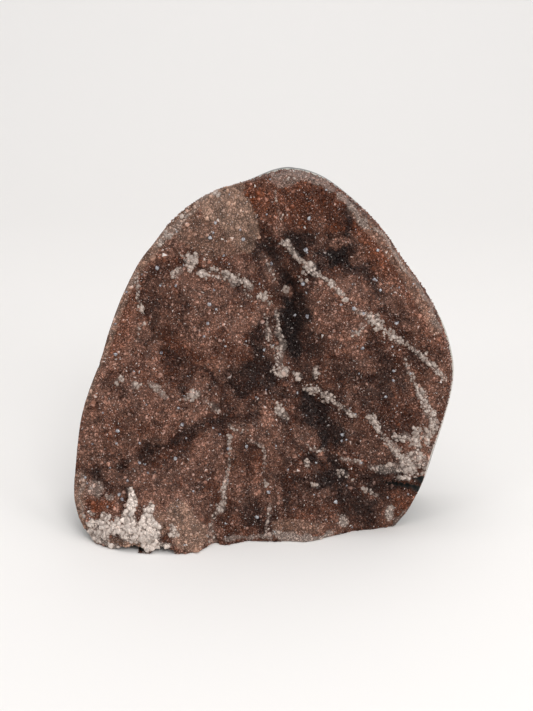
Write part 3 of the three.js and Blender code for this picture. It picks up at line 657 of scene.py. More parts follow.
FROST_AND_RIM_LIGHT = [
    (1, [(-42.7, 17.6, 0.9), (-42.5, 14, 1.5), (-43.5, 10.5, 2.2), (-42.5, 6.5, 3)]),
    (1, [(-36, 13.2, 0.6), (-36, 10.5, 1.6), (-37, 7.5, 2.6), (-36.5, 4.5, 2.6)]),
    (1, [(-56.5, 4.8, 0.8), (-53, 4.5, 1.8), (-47, 5, 2), (-40, 4.5, 2.4), (-35, 3.5, 2)]),
    (0.85, [(-54, 2, 1.2), (-50.5, 2, 1.4)]),
    (0.9, [(-57, 2.6, 1.1), (-53.5, 0.6, 1.3), (-49.5, -0.6, 1.1), (-46.5, -1, 0.8)]),
    (1, [(-37, -0.2, 1.3), (-34.5, 0.8, 1)]),
    (1, [(-36, 1.2, 1.6), (-32, 1.4, 2), (-29.3, 1.6, 1.3)]),
    (0.85, [(-30, 7.8, 0.9), (-29.3, 5.4, 1)]),
    (0.8, [(-55, 9.6, 1.1), (-54.6, 9.4, 1)]),
    (0.85, [(-51.3, 8.3, 1.5), (-50.7, 7.6, 1.4)]),
    (0.8, [(-47.8, 7.6, 1.1), (-47, 7.3, 1)]),
    (0.5, [(-50.3, 14.8, 1.1), (-49.6, 14.8, 1.1)]),
    (0.4, [(-56, 17.8, 2), (-54, 17.4, 1.8)]),
    (0.5, [(-13, 0.4, 0.8), (-8, 0.6, 0.7)]),
    (0.7, [(3, 1.8, 0.9), (10, 1.7, 1.7), (20, 1.4, 1.4)]),
    (0.5, [(-9, 0.3, 0.5), (2, 0.6, 0.8)]),
    (0.8, [(25.4, 7.5, 0.8), (25.9, 4.3, 1.5)]),
    (0.95, [(40.5, 8.8, 1), (42, 6.8, 1.5)]),
    (0.4, [(36, 23.2, 1), (42, 22.8, 1.8), (47, 22, 1.4)]),
    (0.95, [(43, 19.8, 0.8), (46, 19.4, 1.1)]),
    (0.5, [(47, 28, 2), (49.3, 27, 2), (50, 24, 1.3)]),
    (0.45, [(54.5, 33, 1), (52.5, 25, 0.8), (50.5, 21, 0.5)]),
    (0.4, [(51, 12, 0.6), (47, 6, 0.8), (43, 2.5, 0.8)]),
    # The strokes from here on follow the rim: painted light, the edge made paler where light comes through
    # it.
    (0.35, [(3, 116.2, 0.8), (9, 116.3, 2), (14, 115.4, 1.8), (20, 112.8, 0.9)]),
    (0.5, [(23, 110.8, 1), (28, 107.3, 1.1), (32.5, 103.2, 0.8), (37, 98.6, 0.8), (44.5, 87, 0.7)]),
    (0.3, [(44.5, 87, 0.6), (52.5, 76.5, 0.7), (54.5, 73, 1), (56.5, 67, 0.6)]),
    (0.35, [(-14, 111, 1), (-20, 108.5, 0.6), (-25, 104.5, 0.9), (-29.5, 99, 1.5), (-33, 95, 1.4)]),
    (0.3, [(-41, 87, 0.7), (-46, 76, 0.6), (-50, 66, 0.6)]),
    (0.35, [(-59.8, 22, 0.6), (-60, 16, 0.5), (-58, 8, 0.6)]),
]
ZONES = {"orange_tint": ORANGE_TINT, "smoke_and_shade": SMOKE_AND_SHADE, "clear": CLEAR, "rose": ROSE, "frost_and_rim_light": FROST_AND_RIM_LIGHT}


def growth_zones(u, v):
    """How strongly each thing that colours the crust shows at a place on the face, from 0 to 1."""
    wander_u = u + 1.6 * mottle(u, v, 6, 23) + 0.8 * mottle(u, v, 2.3, 24)
    wander_v = v + 1.6 * mottle(u, v, 6, 25) + 0.8 * mottle(u, v, 2.3, 26)
    ragged = 0.2 * mottle(u, v, 5, 21) + 0.2 * mottle(u, v, 1.9, 22)
    zones = {}
    for name, strokes in ZONES.items():
        blur = 0.2 if name == "frost_and_rim_light" else 0.6
        zones[name] = strongest(strokes, wander_u, wander_v, ragged, -blur, blur)
    zones["frost_and_rim_light"] = np.maximum(zones["frost_and_rim_light"], vein_strength(u, v))
    clear = zones.pop("clear")
    zones["smoke_and_shade"] *= 1 - clear
    zones["rose"] = np.maximum(zones["rose"], 1.2 * clear)
    zones["tan"] = tan_and_rim_light_strength(u, v)
    zones["smoke_and_shade"] *= 1 - 0.7 * zones["tan"]
    zones["orange_tint"] *= 1 - zones["tan"]
    return zones


def build_mesh(name, points, triangles, chart, marks, facets=None, material_of=None):
    """A mesh of triangles, with its places on the baked picture and its named values at each point."""
    mesh = bpy.data.meshes.new(name)
    mesh.vertices.add(len(points))
    mesh.vertices.foreach_set("co", points.astype(np.float32).ravel())
    mesh.loops.add(3 * len(triangles))
    mesh.loops.foreach_set("vertex_index", triangles.astype(np.int32).ravel())
    mesh.polygons.add(len(triangles))
    mesh.polygons.foreach_set("loop_start", np.arange(0, 3 * len(triangles), 3, dtype=np.int32))
    layer = mesh.uv_layers.new(name="OFBake")
    layer.data.foreach_set("uv", chart.astype(np.float32).ravel())
    for mark, values in marks.items():
        mesh.attributes.new(mark, "FLOAT", "POINT").data.foreach_set("value", values.astype(np.float32))
    if facets is not None:
        mesh.attributes.new("facet", "FLOAT", "FACE").data.foreach_set("value", facets.astype(np.float32))
    if material_of is not None:
        mesh.polygons.foreach_set("material_index", material_of.astype(np.int32))
    mesh.update(calc_edges=True)
    mesh.validate()
    piece = bpy.data.objects.new(name, mesh)
    bpy.context.scene.collection.objects.link(piece)
    return piece


face_u = points[:, 0] / MM
face_v = (points[:, 1] / MM + FOOT_TO_FACE) * math.sin(LEAN) + points[:, 2] / MM * math.cos(LEAN)
marks = growth_zones(face_u, face_v)
bare = bare_strength(face_u, face_v)
# The quartz behind the face is thinnest at the foot: its depth in mm at a few heights.
QUARTZ_HEIGHTS = (0, 30, 60, 100)
QUARTZ_DEPTHS = (0.6, 4, 6, 10)
layers = np.concatenate(behind + [[0.0], [DEEP_IN_ROCK]]) / np.interp(face_v, QUARTZ_HEIGHTS, QUARTZ_DEPTHS)
marks.update(layers=layers, bare=bare, grain=np.full(len(points), 0.3), tip=np.zeros(len(points)))
slab = build_mesh(
    "basalt_slab", points, np.concatenate(corners), np.concatenate(chart), marks,
    material_of=np.concatenate(finish),
)


def linear(code):
    """An sRGB hex colour as Blender's linear values."""
    channels = [int(code[k:k + 2], 16) / 255 for k in (1, 3, 5)]
    return [c / 12.92 if c <= 0.04045 else ((c + 0.055) / 1.055) ** 2.4 for c in channels] + [1]


def add(tree, kind, settings=None, **inputs):
    """Adds a node: its settings by name, and each input as a value or as the output that feeds it.

    An input is given by its name, or as i and its number where several have one name.
    """
    node = tree.nodes.new("ShaderNode" + kind)
    for key, value in (settings or {}).items():
        setattr(node, key, value)
    for key, value in inputs.items():
        numbered = key[0] == "i" and key[1:].isdigit()
        socket = node.inputs[int(key[1:]) if numbered else key.replace("_", " ")]
        if isinstance(value, bpy.types.NodeSocket):
            tree.links.new(value, socket)
        else:
            socket.default_value = value
    return node


def new_material(name):
    material = bpy.data.materials.new(name)
    material.use_nodes = True
    tree = material.node_tree
    tree.nodes.clear()
    return material, tree


def mixed(tree, share, first, second):
    return add(tree, "Mix", {"data_type": "RGBA"}, i0=share, i6=first, i7=second).outputs[2]


def mark_of(tree, name):
    return add(tree, "Attribute", {"attribute_name": name}).outputs["Fac"]


def in_mm(tree):
    """Object coordinates in mm, so that a texture's scale is one over its size."""
    place = add(tree, "TexCoord").outputs["Object"]
    return add(tree, "VectorMath", {"operation": "SCALE"}, i0=place, Scale=1000.0).outputs[0]


def scaled(tree, value, times, plus=0.0, clamp=False):
    """value * times + plus, where each can be a number or a node's output."""
    settings = {"operation": "MULTIPLY_ADD", "use_clamp": clamp}
    return add(tree, "Math", settings, i0=value, i1=times, i2=plus).outputs[0]


def finished(tree, **sockets):
    shader = add(tree, "BsdfPrincipled", **sockets)
    add(tree, "OutputMaterial", Surface=shader.outputs[0])


def basalt_colour(tree, place):
    """Old lava: dark green-black, with a fine felt of paler laths and a few filled bubbles."""
    blotch = add(tree, "TexNoise", Vector=place, Scale=0.16, Detail=4.0).outputs[0]
    felt = add(tree, "TexNoise", Vector=place, Scale=1.4, Detail=3.0).outputs[0]
    rock = mixed(tree, scaled(tree, blotch, 3, -1, True), linear("#101412"), linear("#2E3531"))
    rock = mixed(tree, scaled(tree, felt, 4, -2.1, True), rock, linear("#444C45"))
    bubble = add(tree, "TexVoronoi", Vector=place, Scale=0.24).outputs["Distance"]
    return mixed(tree, scaled(tree, bubble, -9, 1.0, True), rock, linear("#6C7263"))


def quartz_colour(tree):
    """Rosy quartz: pinkish brown, rusty orange in places, near black where smoky and where shade is painted
    into its creases, pale where frosted and where light is painted along the rim.
    """
    place = in_mm(tree)
    blotch = add(tree, "TexNoise", Vector=place, Scale=0.25, Detail=3.0, Roughness=0.6).outputs[0]
    rosy = scaled(tree, mark_of(tree, "rose"), 1.0, scaled(tree, blotch, 2.4, -1.05), True)
    body = mixed(tree, rosy, linear("#724431"), linear("#AE7E6A"))
    body = mixed(tree, scaled(tree, mark_of(tree, "orange_tint"), 0.8), body, linear("#8C4A2A"))
    # Pale tan, which along the rim is painted light.
    body = mixed(tree, mark_of(tree, "tan"), body, linear("#BB9782"))
    # Near black for smoky quartz, and as painted shade in the creases.
    body = mixed(tree, scaled(tree, mark_of(tree, "smoke_and_shade"), 0.95), body, linear("#060204"))
    patch = add(tree, "TexNoise", Vector=place, Scale=0.34, Detail=4.0, Roughness=0.7).outputs[0]
    body = add(tree, "HueSaturation", Value=scaled(tree, patch, 3.2, -0.6), Color=body).outputs[0]
    # Pale where frosted, and along the rim as painted light.
    return mixed(tree, mark_of(tree, "frost_and_rim_light"), body, linear("#E6D3C6"))


# Rosy quartz as grown shows only between the crystals. It is dull and finely rough, and its colour is mixed
# most of the way to near black as painted shade for the gaps between them.
crust_finish, tree = new_material("rosy quartz, as grown")
place = in_mm(tree)
# Painted shade between the crystals.
colour = mixed(tree, 0.7, quartz_colour(tree), linear("#140A08"))
# Bare rock: dark basalt, mixed most of the way to black as painted shade in its holes and gaps.
rock = mixed(tree, 0.65, basalt_colour(tree, place), linear("#040505"))
colour = mixed(tree, mark_of(tree, "bare"), colour, rock)
rough = add(tree, "TexNoise", Vector=place, Scale=1.1, Detail=3.0).outputs[0]
bump = add(tree, "Bump", Strength=0.6, Distance=0.0004, Height=rough).outputs[0]
finished(tree, Base_Color=colour, Roughness=0.6, IOR=1.544, Specular_IOR_Level=0.2, Normal=bump)

# The sawn edge is smooth, with a soft sheen: grainy quartz, then a grey band of agate, then basalt.
sawn_finish, tree = new_material("basalt and quartz, sawn and smoothed")
place = in_mm(tree)
wander = add(tree, "TexNoise", Vector=place, Scale=0.3, Detail=3.0).outputs[0]
depth = scaled(tree, wander, 0.5, mark_of(tree, "layers"))
cut = add(tree, "TexVoronoi", {"feature": "DISTANCE_TO_EDGE"}, Vector=place, Scale=0.6).outputs[0]
needles = add(tree, "TexNoise", Vector=place, Scale=0.9, Detail=2.0).outputs[0]
quartz = mixed(tree, scaled(tree, needles, 3, -1, True), linear("#80604F"), linear("#B9A597"))
quartz = mixed(tree, scaled(tree, cut, -8, 0.7, True), quartz, linear("#CDBDB0"))
agate = mixed(tree, scaled(tree, depth, 6, -7.2, True), quartz, linear("#A7A497"))
edge = mixed(tree, scaled(tree, depth, 9, -15.5, True), agate, basalt_colour(tree, place))
finished(tree, Base_Color=edge, Roughness=0.32, IOR=1.54)

# The broken back is matt and gritty, so it hardly shines at all.
broken_finish, tree = new_material("basalt, broken")
place = in_mm(tree)
gritty = add(tree, "TexNoise", Vector=place, Scale=0.9, Detail=5.0, Roughness=0.65).outputs[0]
bump = add(tree, "Bump", Strength=0.8, Distance=0.0006, Height=gritty).outputs[0]
finished(tree, Base_Color=basalt_colour(tree, place), Roughness=0.78, IOR=1.5, Normal=bump)

for finish_of_face in (crust_finish, sawn_finish, broken_finish):
    slab.data.materials.append(finish_of_face)
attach(slab, "root")
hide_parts("druzy_plate")

# The druzy: a continuous crust of rosy quartz crystals, each a six-sided point about 0.8 mm across.
# They grew side by side on the slab's front and, at the crown and the upper right, over its rim.
# Elsewhere the saw cut through those at its edge.
edge_reach = np.hypot(front_v - HUB[1], front_u - HUB[0])
edge_angle = np.arctan2(front_v - HUB[1], front_u - HUB[0])
order = np.argsort(edge_angle)
edge_angle, edge_reach = edge_angle[order], edge_reach[order]


def reach_at(u, v):
    """How far from the hub the sawn edge lies in the direction of each place."""
    return np.interp(np.arctan2(v - HUB[1], u - HUB[0]), edge_angle, edge_reach, period=2 * math.pi)


def covered(u, v):
    """True where the crust is whole: neither bare rock nor chipped away."""
    return bare_strength(u, v) < 0.5


# The lattice goes past the whole face, and each place is shaken off it by a share of the pitch.
FIELD_U = (-66, 68)
FIELD_V = (-12, 130)
SHAKE = 0.4


def crust_places(pitch, rng):
    """Places on the face in a shaken three-way lattice, inside the sawn outline and off the bare rock."""
    rows = np.arange(*FIELD_V, pitch * math.sin(math.pi / 3))
    columns = np.arange(*FIELD_U, pitch)
    v, u = np.meshgrid(rows, columns, indexing="ij")
    u = u + np.where(np.arange(len(rows)) % 2, pitch / 2, 0)[:, None]
    u = (u + rng.uniform(-SHAKE, SHAKE, u.shape) * pitch).ravel()
    v = (v + rng.uniform(-SHAKE, SHAKE, v.shape) * pitch).ravel()
    inside = (np.hypot(u - HUB[0], v - HUB[1]) < reach_at(u, v) + 0.2 * pitch) & covered(u, v)
    return u[inside], v[inside]


# In shares of a crystal's radius: how deep it is rooted, how much its sides vary, and how far its tip
# stands off its middle. SHOULDER is how much the prism's height varies from side to side.
ROOT = 0.4
UNEVEN = 0.2
OFF_CENTRE = 0.35
SHOULDER = 0.3


def grow(name, u, v, radius, length, shank, tilt, rng, over_rim=None):
    """One mesh of quartz crystals: each a six-sided prism with a six-sided point, rooted in the crust.

    The points are length high, on prisms shank high. Crystals over the rim bring their own w and axis.
    """
    count = len(u)
    if over_rim is None:
        step = 0.05
        h = crust_height(u, v)
        slope_u = (crust_height(u + step, v) - h) / step
        slope_v = (crust_height(u, v + step) - h) / step
        axis = np.stack([-slope_u, -slope_v, np.ones(count)], -1)
    else:
        h, axis = over_rim
    axis /= np.linalg.norm(axis, axis=1, keepdims=True)
    axis += tilt * rng.normal(0, 1, (count, 3))
    axis /= np.linalg.norm(axis, axis=1, keepdims=True)
    side = np.cross(axis, rng.normal(0, 1, (count, 3)))
    side /= np.linalg.norm(side, axis=1, keepdims=True)
    other = np.cross(axis, side)
    turn = np.arange(6) * math.pi / 3
    uneven = 1 + rng.uniform(-UNEVEN, UNEVEN, (count, 6))
    across = radius[:, None] * uneven
    shift = rng.uniform(-OFF_CENTRE, OFF_CENTRE, (count, 2)) * radius[:, None]
    root = np.stack([u, v, h], -1) - ROOT * radius[:, None] * axis
    ring = root[:, None] + across[..., None] * (
        np.cos(turn)[None, :, None] * side[:, None] + np.sin(turn)[None, :, None] * other[:, None]
    )
    tip = root + (shank + length)[:, None] * axis + shift[:, :1] * side + shift[:, 1:] * other
    levels = [ring]
    if shank.any():
        drop = 1 + rng.uniform(-SHOULDER, SHOULDER, (count, 6))
        levels.append(ring + (shank[:, None] * drop)[..., None] * axis[:, None])
    local = np.concatenate(levels + [tip[:, None]], 1)
    if over_rim is None:
        far = np.hypot(local[..., 0] - HUB[0], local[..., 1] - HUB[1])
        share = np.minimum(1, reach_at(local[..., 0], local[..., 1]) / far)
        local[..., 0] = HUB[0] + (local[..., 0] - HUB[0]) * share
        local[..., 1] = HUB[1] + (local[..., 1] - HUB[1]) * share
    world = on_face(local[..., 0], local[..., 1], local[..., 2])
    world = np.clip(world, np.array(solid_box[0]) + 2e-5, np.array(solid_box[1]) - 2e-5)
    world[..., 2] = np.where(world[..., 2] < 1e-4, 0, world[..., 2])

    k = np.arange(6)
    n = (k + 1) % 6
    top = 6 * (len(levels) - 1)
    faces = [np.stack([top + k, top + n, np.full(6, top + 6)], -1)]
    if len(levels) == 2:
        faces += [np.stack([k, n, 6 + n], -1), np.stack([k, 6 + n, 6 + k], -1)]
    faces.append(np.array([[0, 2, 1], [0, 3, 2], [0, 4, 3], [0, 5, 4]]))
    faces = np.concatenate(faces)
    per = top + 7
    triangles = (faces[None] + per * np.arange(count)[:, None, None]).reshape(-1, 3)

    # Each crystal has a small square of the baked picture, where it lies as seen from its tip.
    cells = math.ceil(math.sqrt(count))
    shown = np.concatenate([np.stack([np.cos(turn), np.sin(turn)], -1)] * len(levels) + [np.zeros((1, 2))])
    if len(levels) == 2:
        shown[6:12] *= 0.72
    corner = np.stack([np.arange(count) % cells, np.arange(count) // cells], -1)
    chart = ((corner[:, None] + 0.5 + 0.42 * shown[None]) / cells).reshape(-1, 2)[triangles]

    marks = {zone: np.repeat(values, per) for zone, values in growth_zones(u, v).items()}
    marks["grain"] = np.repeat(rng.uniform(0, 1, count), per)
    # How high each point stands on its crystal; the materials paint shade on the roots from it.
    up = np.zeros(per)
    up[-1] = 1
    up[6:-1] = 0.7
    marks["tip"] = np.tile(up, count)
    # Each face gets a random share, which the materials turn into painted light and shade.
    shades = rng.uniform(0, 1, (count, len(faces)))
    if len(levels) == 2:
        shades[:, 12:18] = shades[:, 6:12]
    return build_mesh(name, world.reshape(-1, 3), triangles, chart, marks, shades.ravel())


def crystal_colour(tree, body):
    """Painted light and shade: each face of a crystal is made brighter or darker at random, some get a
    painted pale sheen and a few a painted white highlight, and painted shade makes the roots darker than the
    tips.
    """
    facet = mark_of(tree, "facet")
    grain = mark_of(tree, "grain")
    even = body
    # Painted light and shade, face by face.
    body = add(tree, "HueSaturation", Value=scaled(tree, facet, 1.15, 0.25), Color=body).outputs[0]
    body = add(tree, "HueSaturation", Value=scaled(tree, grain, 0.8, 0.55), Color=body).outputs[0]
    body = mixed(tree, scaled(tree, mark_of(tree, "tan"), 0.5), body, even)
    clear_of_smoke_and_shade = scaled(tree, mark_of(tree, "smoke_and_shade"), -0.6, 1)
    # A painted pale sheen on some faces, less in the smoky parts.
    painted_sheen = scaled(tree, scaled(tree, scaled(tree, facet, grain), 0.8, -0.25, True), clear_of_smoke_and_shade)
    body = mixed(tree, painted_sheen, body, linear("#C4B0A7"))
    # A painted white highlight on a few faces.
    painted_glint = scaled(tree, scaled(tree, facet, 26, -25.1, True), clear_of_smoke_and_shade)
    # Painted shade on the roots.
    body = mixed(tree, scaled(tree, mark_of(tree, "tip"), -0.65, 0.65), body, linear("#1E0A04"))
    return mixed(tree, painted_glint, body, linear("#E0D8D2"))


# Rosy quartz crystals have glassy, sharp faces. Painted highlights and painted shade in their colour make
# some faces bright while the ones beside them stay dark.
druzy_finish, tree = new_material("rosy quartz, crystal faces")
finished(tree, Base_Color=crystal_colour(tree, quartz_colour(tree)), Roughness=0.09, IOR=1.544,
         Specular_IOR_Level=0.12)

# SPREAD is how much the radii vary, and TILT how far the crystals lean at random. The fine druzy comes in
# three pieces, parted at two places along u.
FINE_PITCH, FINE_RADIUS = 0.58, 0.38
SPREAD = 0.25
TILT = 0.3
MIDDLE_FROM, MIDDLE_TO = -20, 19
rng = np.random.default_rng(7)
u, v = crust_places(FINE_PITCH, rng)
left, right = u < MIDDLE_FROM, u >= MIDDLE_TO
for third, own in (("left", left), ("middle", ~left & ~right), ("right", right)):
    radius = FINE_RADIUS * np.exp(SPREAD * rng.normal(0, 1, own.sum()))
    druzy = grow("druzy_" + third, u[own], v[own], radius, 1.25 * radius, 0 * radius, TILT, rng)
    druzy.data.materials.append(druzy_finish)
    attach(druzy, "root")

# The coarser druzy: here and there a crystal has outgrown the ones around it, to over 1 mm across.
# It is the same rosy quartz, but each of these points stands on a short prism.
COARSE_PITCH, COARSE_RADIUS = 2.4, 0.55
u, v = crust_places(COARSE_PITCH, rng)
radius = COARSE_RADIUS * np.exp(SPREAD * rng.normal(0, 1, len(u)))
coarse = grow("druzy_coarse", u, v, radius, 1.2 * radius, 0.35 * radius, TILT, rng)
coarse.data.materials.append(druzy_finish)
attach(coarse, "root")

# The druzy over the rim: along the crown and the upper right the crust turns back, and the same rosy
# quartz crystals stand outward from the edge there, up to 15 mm behind the front.
RIM_TRIES, RIM_RADIUS, RIM_SPREAD = 9000, 0.45, 0.22
RIM_REACH = 15
FORWARD = 0.15
spoke = rng.integers(0, SPOKES, RIM_TRIES)
spoke = spoke[rolled_back[spoke] > 0]
along = rng.uniform(0, 1, len(spoke))
w = front_w[spoke] - rng.uniform(0, RIM_REACH, len(spoke))
following = (spoke + 1) % SPOKES
edges = np.array([edge_at(depth) for depth in w])
each = np.arange(len(spoke))
u, v = [(1 - along) * edges[each, k, spoke] + along * edges[each, k, following] for k in (0, 1)]
outward = np.stack([rim[following, 1] - rim[spoke, 1], rim[spoke, 0] - rim[following, 0]], -1)
outward *= np.sign(outward[:, :1] * (u - HUB[0])[:, None] + outward[:, 1:] * (v - HUB[1])[:, None])
outward = np.column_stack([outward, FORWARD * np.linalg.norm(outward, axis=1)])
kept = front_w[spoke] - w < rolled_back[spoke]
u, v, w, outward = u[kept], v[kept], w[kept], outward[kept]
radius = RIM_RADIUS * np.exp(RIM_SPREAD * rng.normal(0, 1, len(u)))
rolled = grow("druzy_rim", u, v, radius, 1.1 * radius, 0 * radius, TILT, rng, (w, outward))
rolled.data.materials.append(druzy_finish)
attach(rolled, "root")

# The veins: ribs and clusters of larger, paler quartz crystals that grew last, along old cracks.
# They are milky, greyish white, 0.7 to 2.5 mm across, and stand a little above the druzy around them.
# Clusters: u, v, radius, and how many crystals.
CLUSTERS = [
    (-22.3, 91, 2, 22), (-23, 88, 1, 6), (-27.8, 86.2, 1.1, 7), (-18.7, 86.5, 1.2, 9), (-15.4, 87.8, 1, 4),
    (-12.2, 86.4, 1.2, 9), (-9.5, 84.6, 1.3, 8), (-5.5, 83.4, 1, 6), (0.2, 79.1, 1.5, 14),
    (2, 76.9, 0.7, 3), (7, 80.6, 1, 9), (48.5, 36.5, 1.2, 8), (12.5, 85, 1.5, 6), (5.6, 54.6, 1.9, 15),
    (10.8, 53.2, 1.1, 6), (16.5, 54.8, 1.2, 6), (15.4, 49.1, 1.7, 14), (20, 46.6, 1.6, 12),
    (28.2, 41.4, 0.8, 5), (34.2, 40, 1.3, 12), (14.2, 88.5, 1.5, 13), (7, 95.8, 1, 7), (21, 83.3, 1, 7),
    (25.5, 78.6, 0.8, 5), (35.5, 70.8, 2, 20), (40, 67, 1.2, 10), (52.8, 57.5, 1, 6), (50, 60, 0.9, 5),
    (49.6, 48.6, 1.2, 9), (54.2, 41.6, 1, 7), (4.6, 43.2, 1.4, 8), (0.4, 18.6, 1, 5), (16, 18.8, 1.2, 5),
    (24.8, 21.8, 1.3, 7), (32.4, 16.1, 0.8, 5), (13.5, 26, 1.1, 5), (-46.4, 52, 0.8, 4),
    (-44.9, 53.2, 0.8, 4), (-39.8, 51.3, 1.2, 6), (-33.8, 50.3, 0.9, 4), (-22.4, 48, 1.6, 10),
    (-11, 34.5, 0.8, 4), (-13, 16.8, 0.9, 5), (-14, 11, 1.3, 8), (-29.7, 98.5, 1.3, 10),
    (-32.5, 95.6, 1.2, 7), (-39.5, 82, 0.7, 4), (-38.6, 75.4, 0.9, 7), (-38, 70.5, 0.7, 2),
    (-14.5, 111, 1.1, 6), (-24.4, 104.3, 0.9, 4), (24, 110.5, 1.3, 8), (28.5, 107, 1.2, 8),
    (31.5, 104, 1.1, 6), (36.5, 99, 1, 5), (44.5, 87, 0.9, 5), (52.5, 76.6, 0.7, 3), (53.8, 73.5, 1.1, 5),
    (9, 116, 2, 7), (17.5, 114.8, 1.4, 6),
]

# Milky quartz is cloudy inside: it looks greyish white, and only its faces shine. Each face is made brighter
# or darker at random as painted light and shade, and the roots get painted shade.
milky_finish, tree = new_material("milky quartz, crystal faces")
frost_and_rim_light = mark_of(tree, "frost_and_rim_light")
frost_and_rim_light = scaled(tree, frost_and_rim_light, frost_and_rim_light)
whiteness = scaled(tree, mark_of(tree, "grain"), 0.35, scaled(tree, frost_and_rim_light, 0.6, 0.08))
milky = mixed(tree, whiteness, linear("#7E6B5F"), linear("#E0D1C6"))
# Painted light and shade, face by face.
shade = scaled(tree, mark_of(tree, "facet"), 0.75, 0.6)
milky = add(tree, "HueSaturation", Value=shade, Color=milky).outputs[0]
# Painted shade on the roots.
milky = mixed(tree, scaled(tree, mark_of(tree, "tip"), -0.5, 0.5), milky, linear("#4A3024"))
finished(tree, Base_Color=milky, Roughness=0.12, IOR=1.544)

# The palest veins have about 2.6 crystals to a square mm, and the clusters their own number. In the frost
# on the lobe and in the pale field at the right, places are tried and kept where the crust is white.
PER_SQUARE_MM = 2.6
CLUSTER_RADIUS = (0.35, 0.95)
FROST_RADIUS = (0.5, 1.25)
LOBE_TRIES, LOBE_U, LOBE_V = 900, (-60, -26), (-3, 20)
FIELD_TRIES, PALE_FIELD_U, PALE_FIELD_V = 500, (36, 58), (20, 44)
u, v, size = [], [], []
for pale, path in VEINS:
    for (au, av, aw), (bu, bv, bw) in zip(path, path[1:]):
        count = int(PER_SQUARE_MM * pale * math.hypot(bu - au, bv - av) * (0.4 + (aw + bw) / 2))
        t = rng.uniform(0, 1, count)
        width = 0.6 * (aw + t * (bw - aw))
        size.append(0.3 + 0.42 * width * rng.uniform(0.4, 1.3, count))
        u.append(au + t * (bu - au) + width * rng.normal(0, 1, count))
        v.append(av + t * (bv - av) + width * rng.normal(0, 1, count))
for cu, cv, reach, count in CLUSTERS:
    turn = rng.uniform(0, 2 * math.pi, count)
    out = reach * np.sqrt(rng.uniform(0, 1, count))
    u.append(cu + out * np.cos(turn))
    v.append(cv + out * np.sin(turn))
    size.append(rng.uniform(*CLUSTER_RADIUS, count))
lobe = rng.uniform(*LOBE_U, LOBE_TRIES), rng.uniform(*LOBE_V, LOBE_TRIES)
field = rng.uniform(*PALE_FIELD_U, FIELD_TRIES), rng.uniform(*PALE_FIELD_V, FIELD_TRIES)
for spot_u, spot_v in (lobe, field):
    kept = growth_zones(spot_u, spot_v)["frost_and_rim_light"] > rng.uniform(0.3, 1, len(spot_u))
    u.append(spot_u[kept])
    v.append(spot_v[kept])
    size.append(rng.uniform(*FROST_RADIUS, kept.sum()))
u, v, size = np.concatenate(u), np.concatenate(v), np.concatenate(size)
inside = (np.hypot(u - HUB[0], v - HUB[1]) < reach_at(u, v) - 0.3) & covered(u, v)
u, v, size = u[inside], v[inside], size[inside]
veins = grow("vein_crystals", u, v, size, 0.9 * size, 0.5 * rng.uniform(0.2, 1, len(u)), 0.45, rng)
veins.data.materials.append(milky_finish)
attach(veins, "root")

# Scattered single crystals: clear, glassy quartz points that catch the light, 0.5 to 1.5 mm across.
# Each grew by itself on the druzy, so it stands a little proud of it.
SINGLES = [
    (-7.3, 100), (-6.4, 97), (-15, 102.2), (-16.7, 97.5), (-12.5, 92), (-33.3, 88), (-32.3, 82.6),
    (-15.5, 81.3), (-17, 77), (-17.5, 71), (-12, 63.8), (-39.4, 32.8), (-46.8, 32.5), (-39.8, 25.5),
    (-43.5, 20), (-37, 22.8), (-46, 36.8), (-26, 38.5), (-27, 44), (-41, 55.4), (-32.5, 61), (-46.8, 60.7),
    (-11.5, 30.3), (-28.2, 27), (-57.5, 20.3), (-14, 35), (-5.5, 31.5), (-2.2, 8), (-46, 16), (-45, 14.6),
    (-49.8, 12), (14, 103.5), (10, 72.7), (13.7, 72.7), (2.3, 89.2), (35.5, 93.5), (34.3, 84.5),
    (36.3, 81.2), (41.5, 70.7), (24, 76.8), (12.3, 82.8), (13, 93.6), (0, 62.3), (31, 63), (41.2, 55),
    (41, 52), (38.7, 47), (10.5, 48), (25, 34.5), (24.8, 32.5), (29, 41.5), (31, 25.7), (1.5, 16.2),
    (9.5, 10.6), (23, 12.7), (31, 74), (28, 75.7), (46.5, 54.5), (53, 76.8),
]
# Clear quartz lets half the light through, so the druzy shows dimly in it. Its faces are coloured from grey
# to near white at random as painted highlights.
clear_finish, tree = new_material("clear quartz, crystal faces")
painted_face_glint = mixed(tree, mark_of(tree, "facet"), linear("#7C7782"), linear("#FBFBFF"))
finished(tree, Base_Color=painted_face_glint, Roughness=0.05, IOR=1.544, Transmission_Weight=0.5)
# Smaller ones are strewn over the whole face, about 13 mm apart.
STREWN_PITCH = 13
LISTED_RADIUS = (0.4, 0.72)
STREWN_RADIUS = (0.25, 0.45)
strew_u, strew_v = crust_places(STREWN_PITCH, rng)
u = np.concatenate([[p[0] for p in SINGLES], strew_u])
v = np.concatenate([[p[1] for p in SINGLES], strew_v])
large, small = rng.uniform(*LISTED_RADIUS, len(u)), rng.uniform(*STREWN_RADIUS, len(u))
radius = np.where(np.arange(len(u)) < len(SINGLES), large, small)
singles = grow("single_crystals", u, v, radius, 1.1 * radius, 0.8 * radius, 0.5, rng)
singles.data.materials.append(clear_finish)
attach(singles, "root")

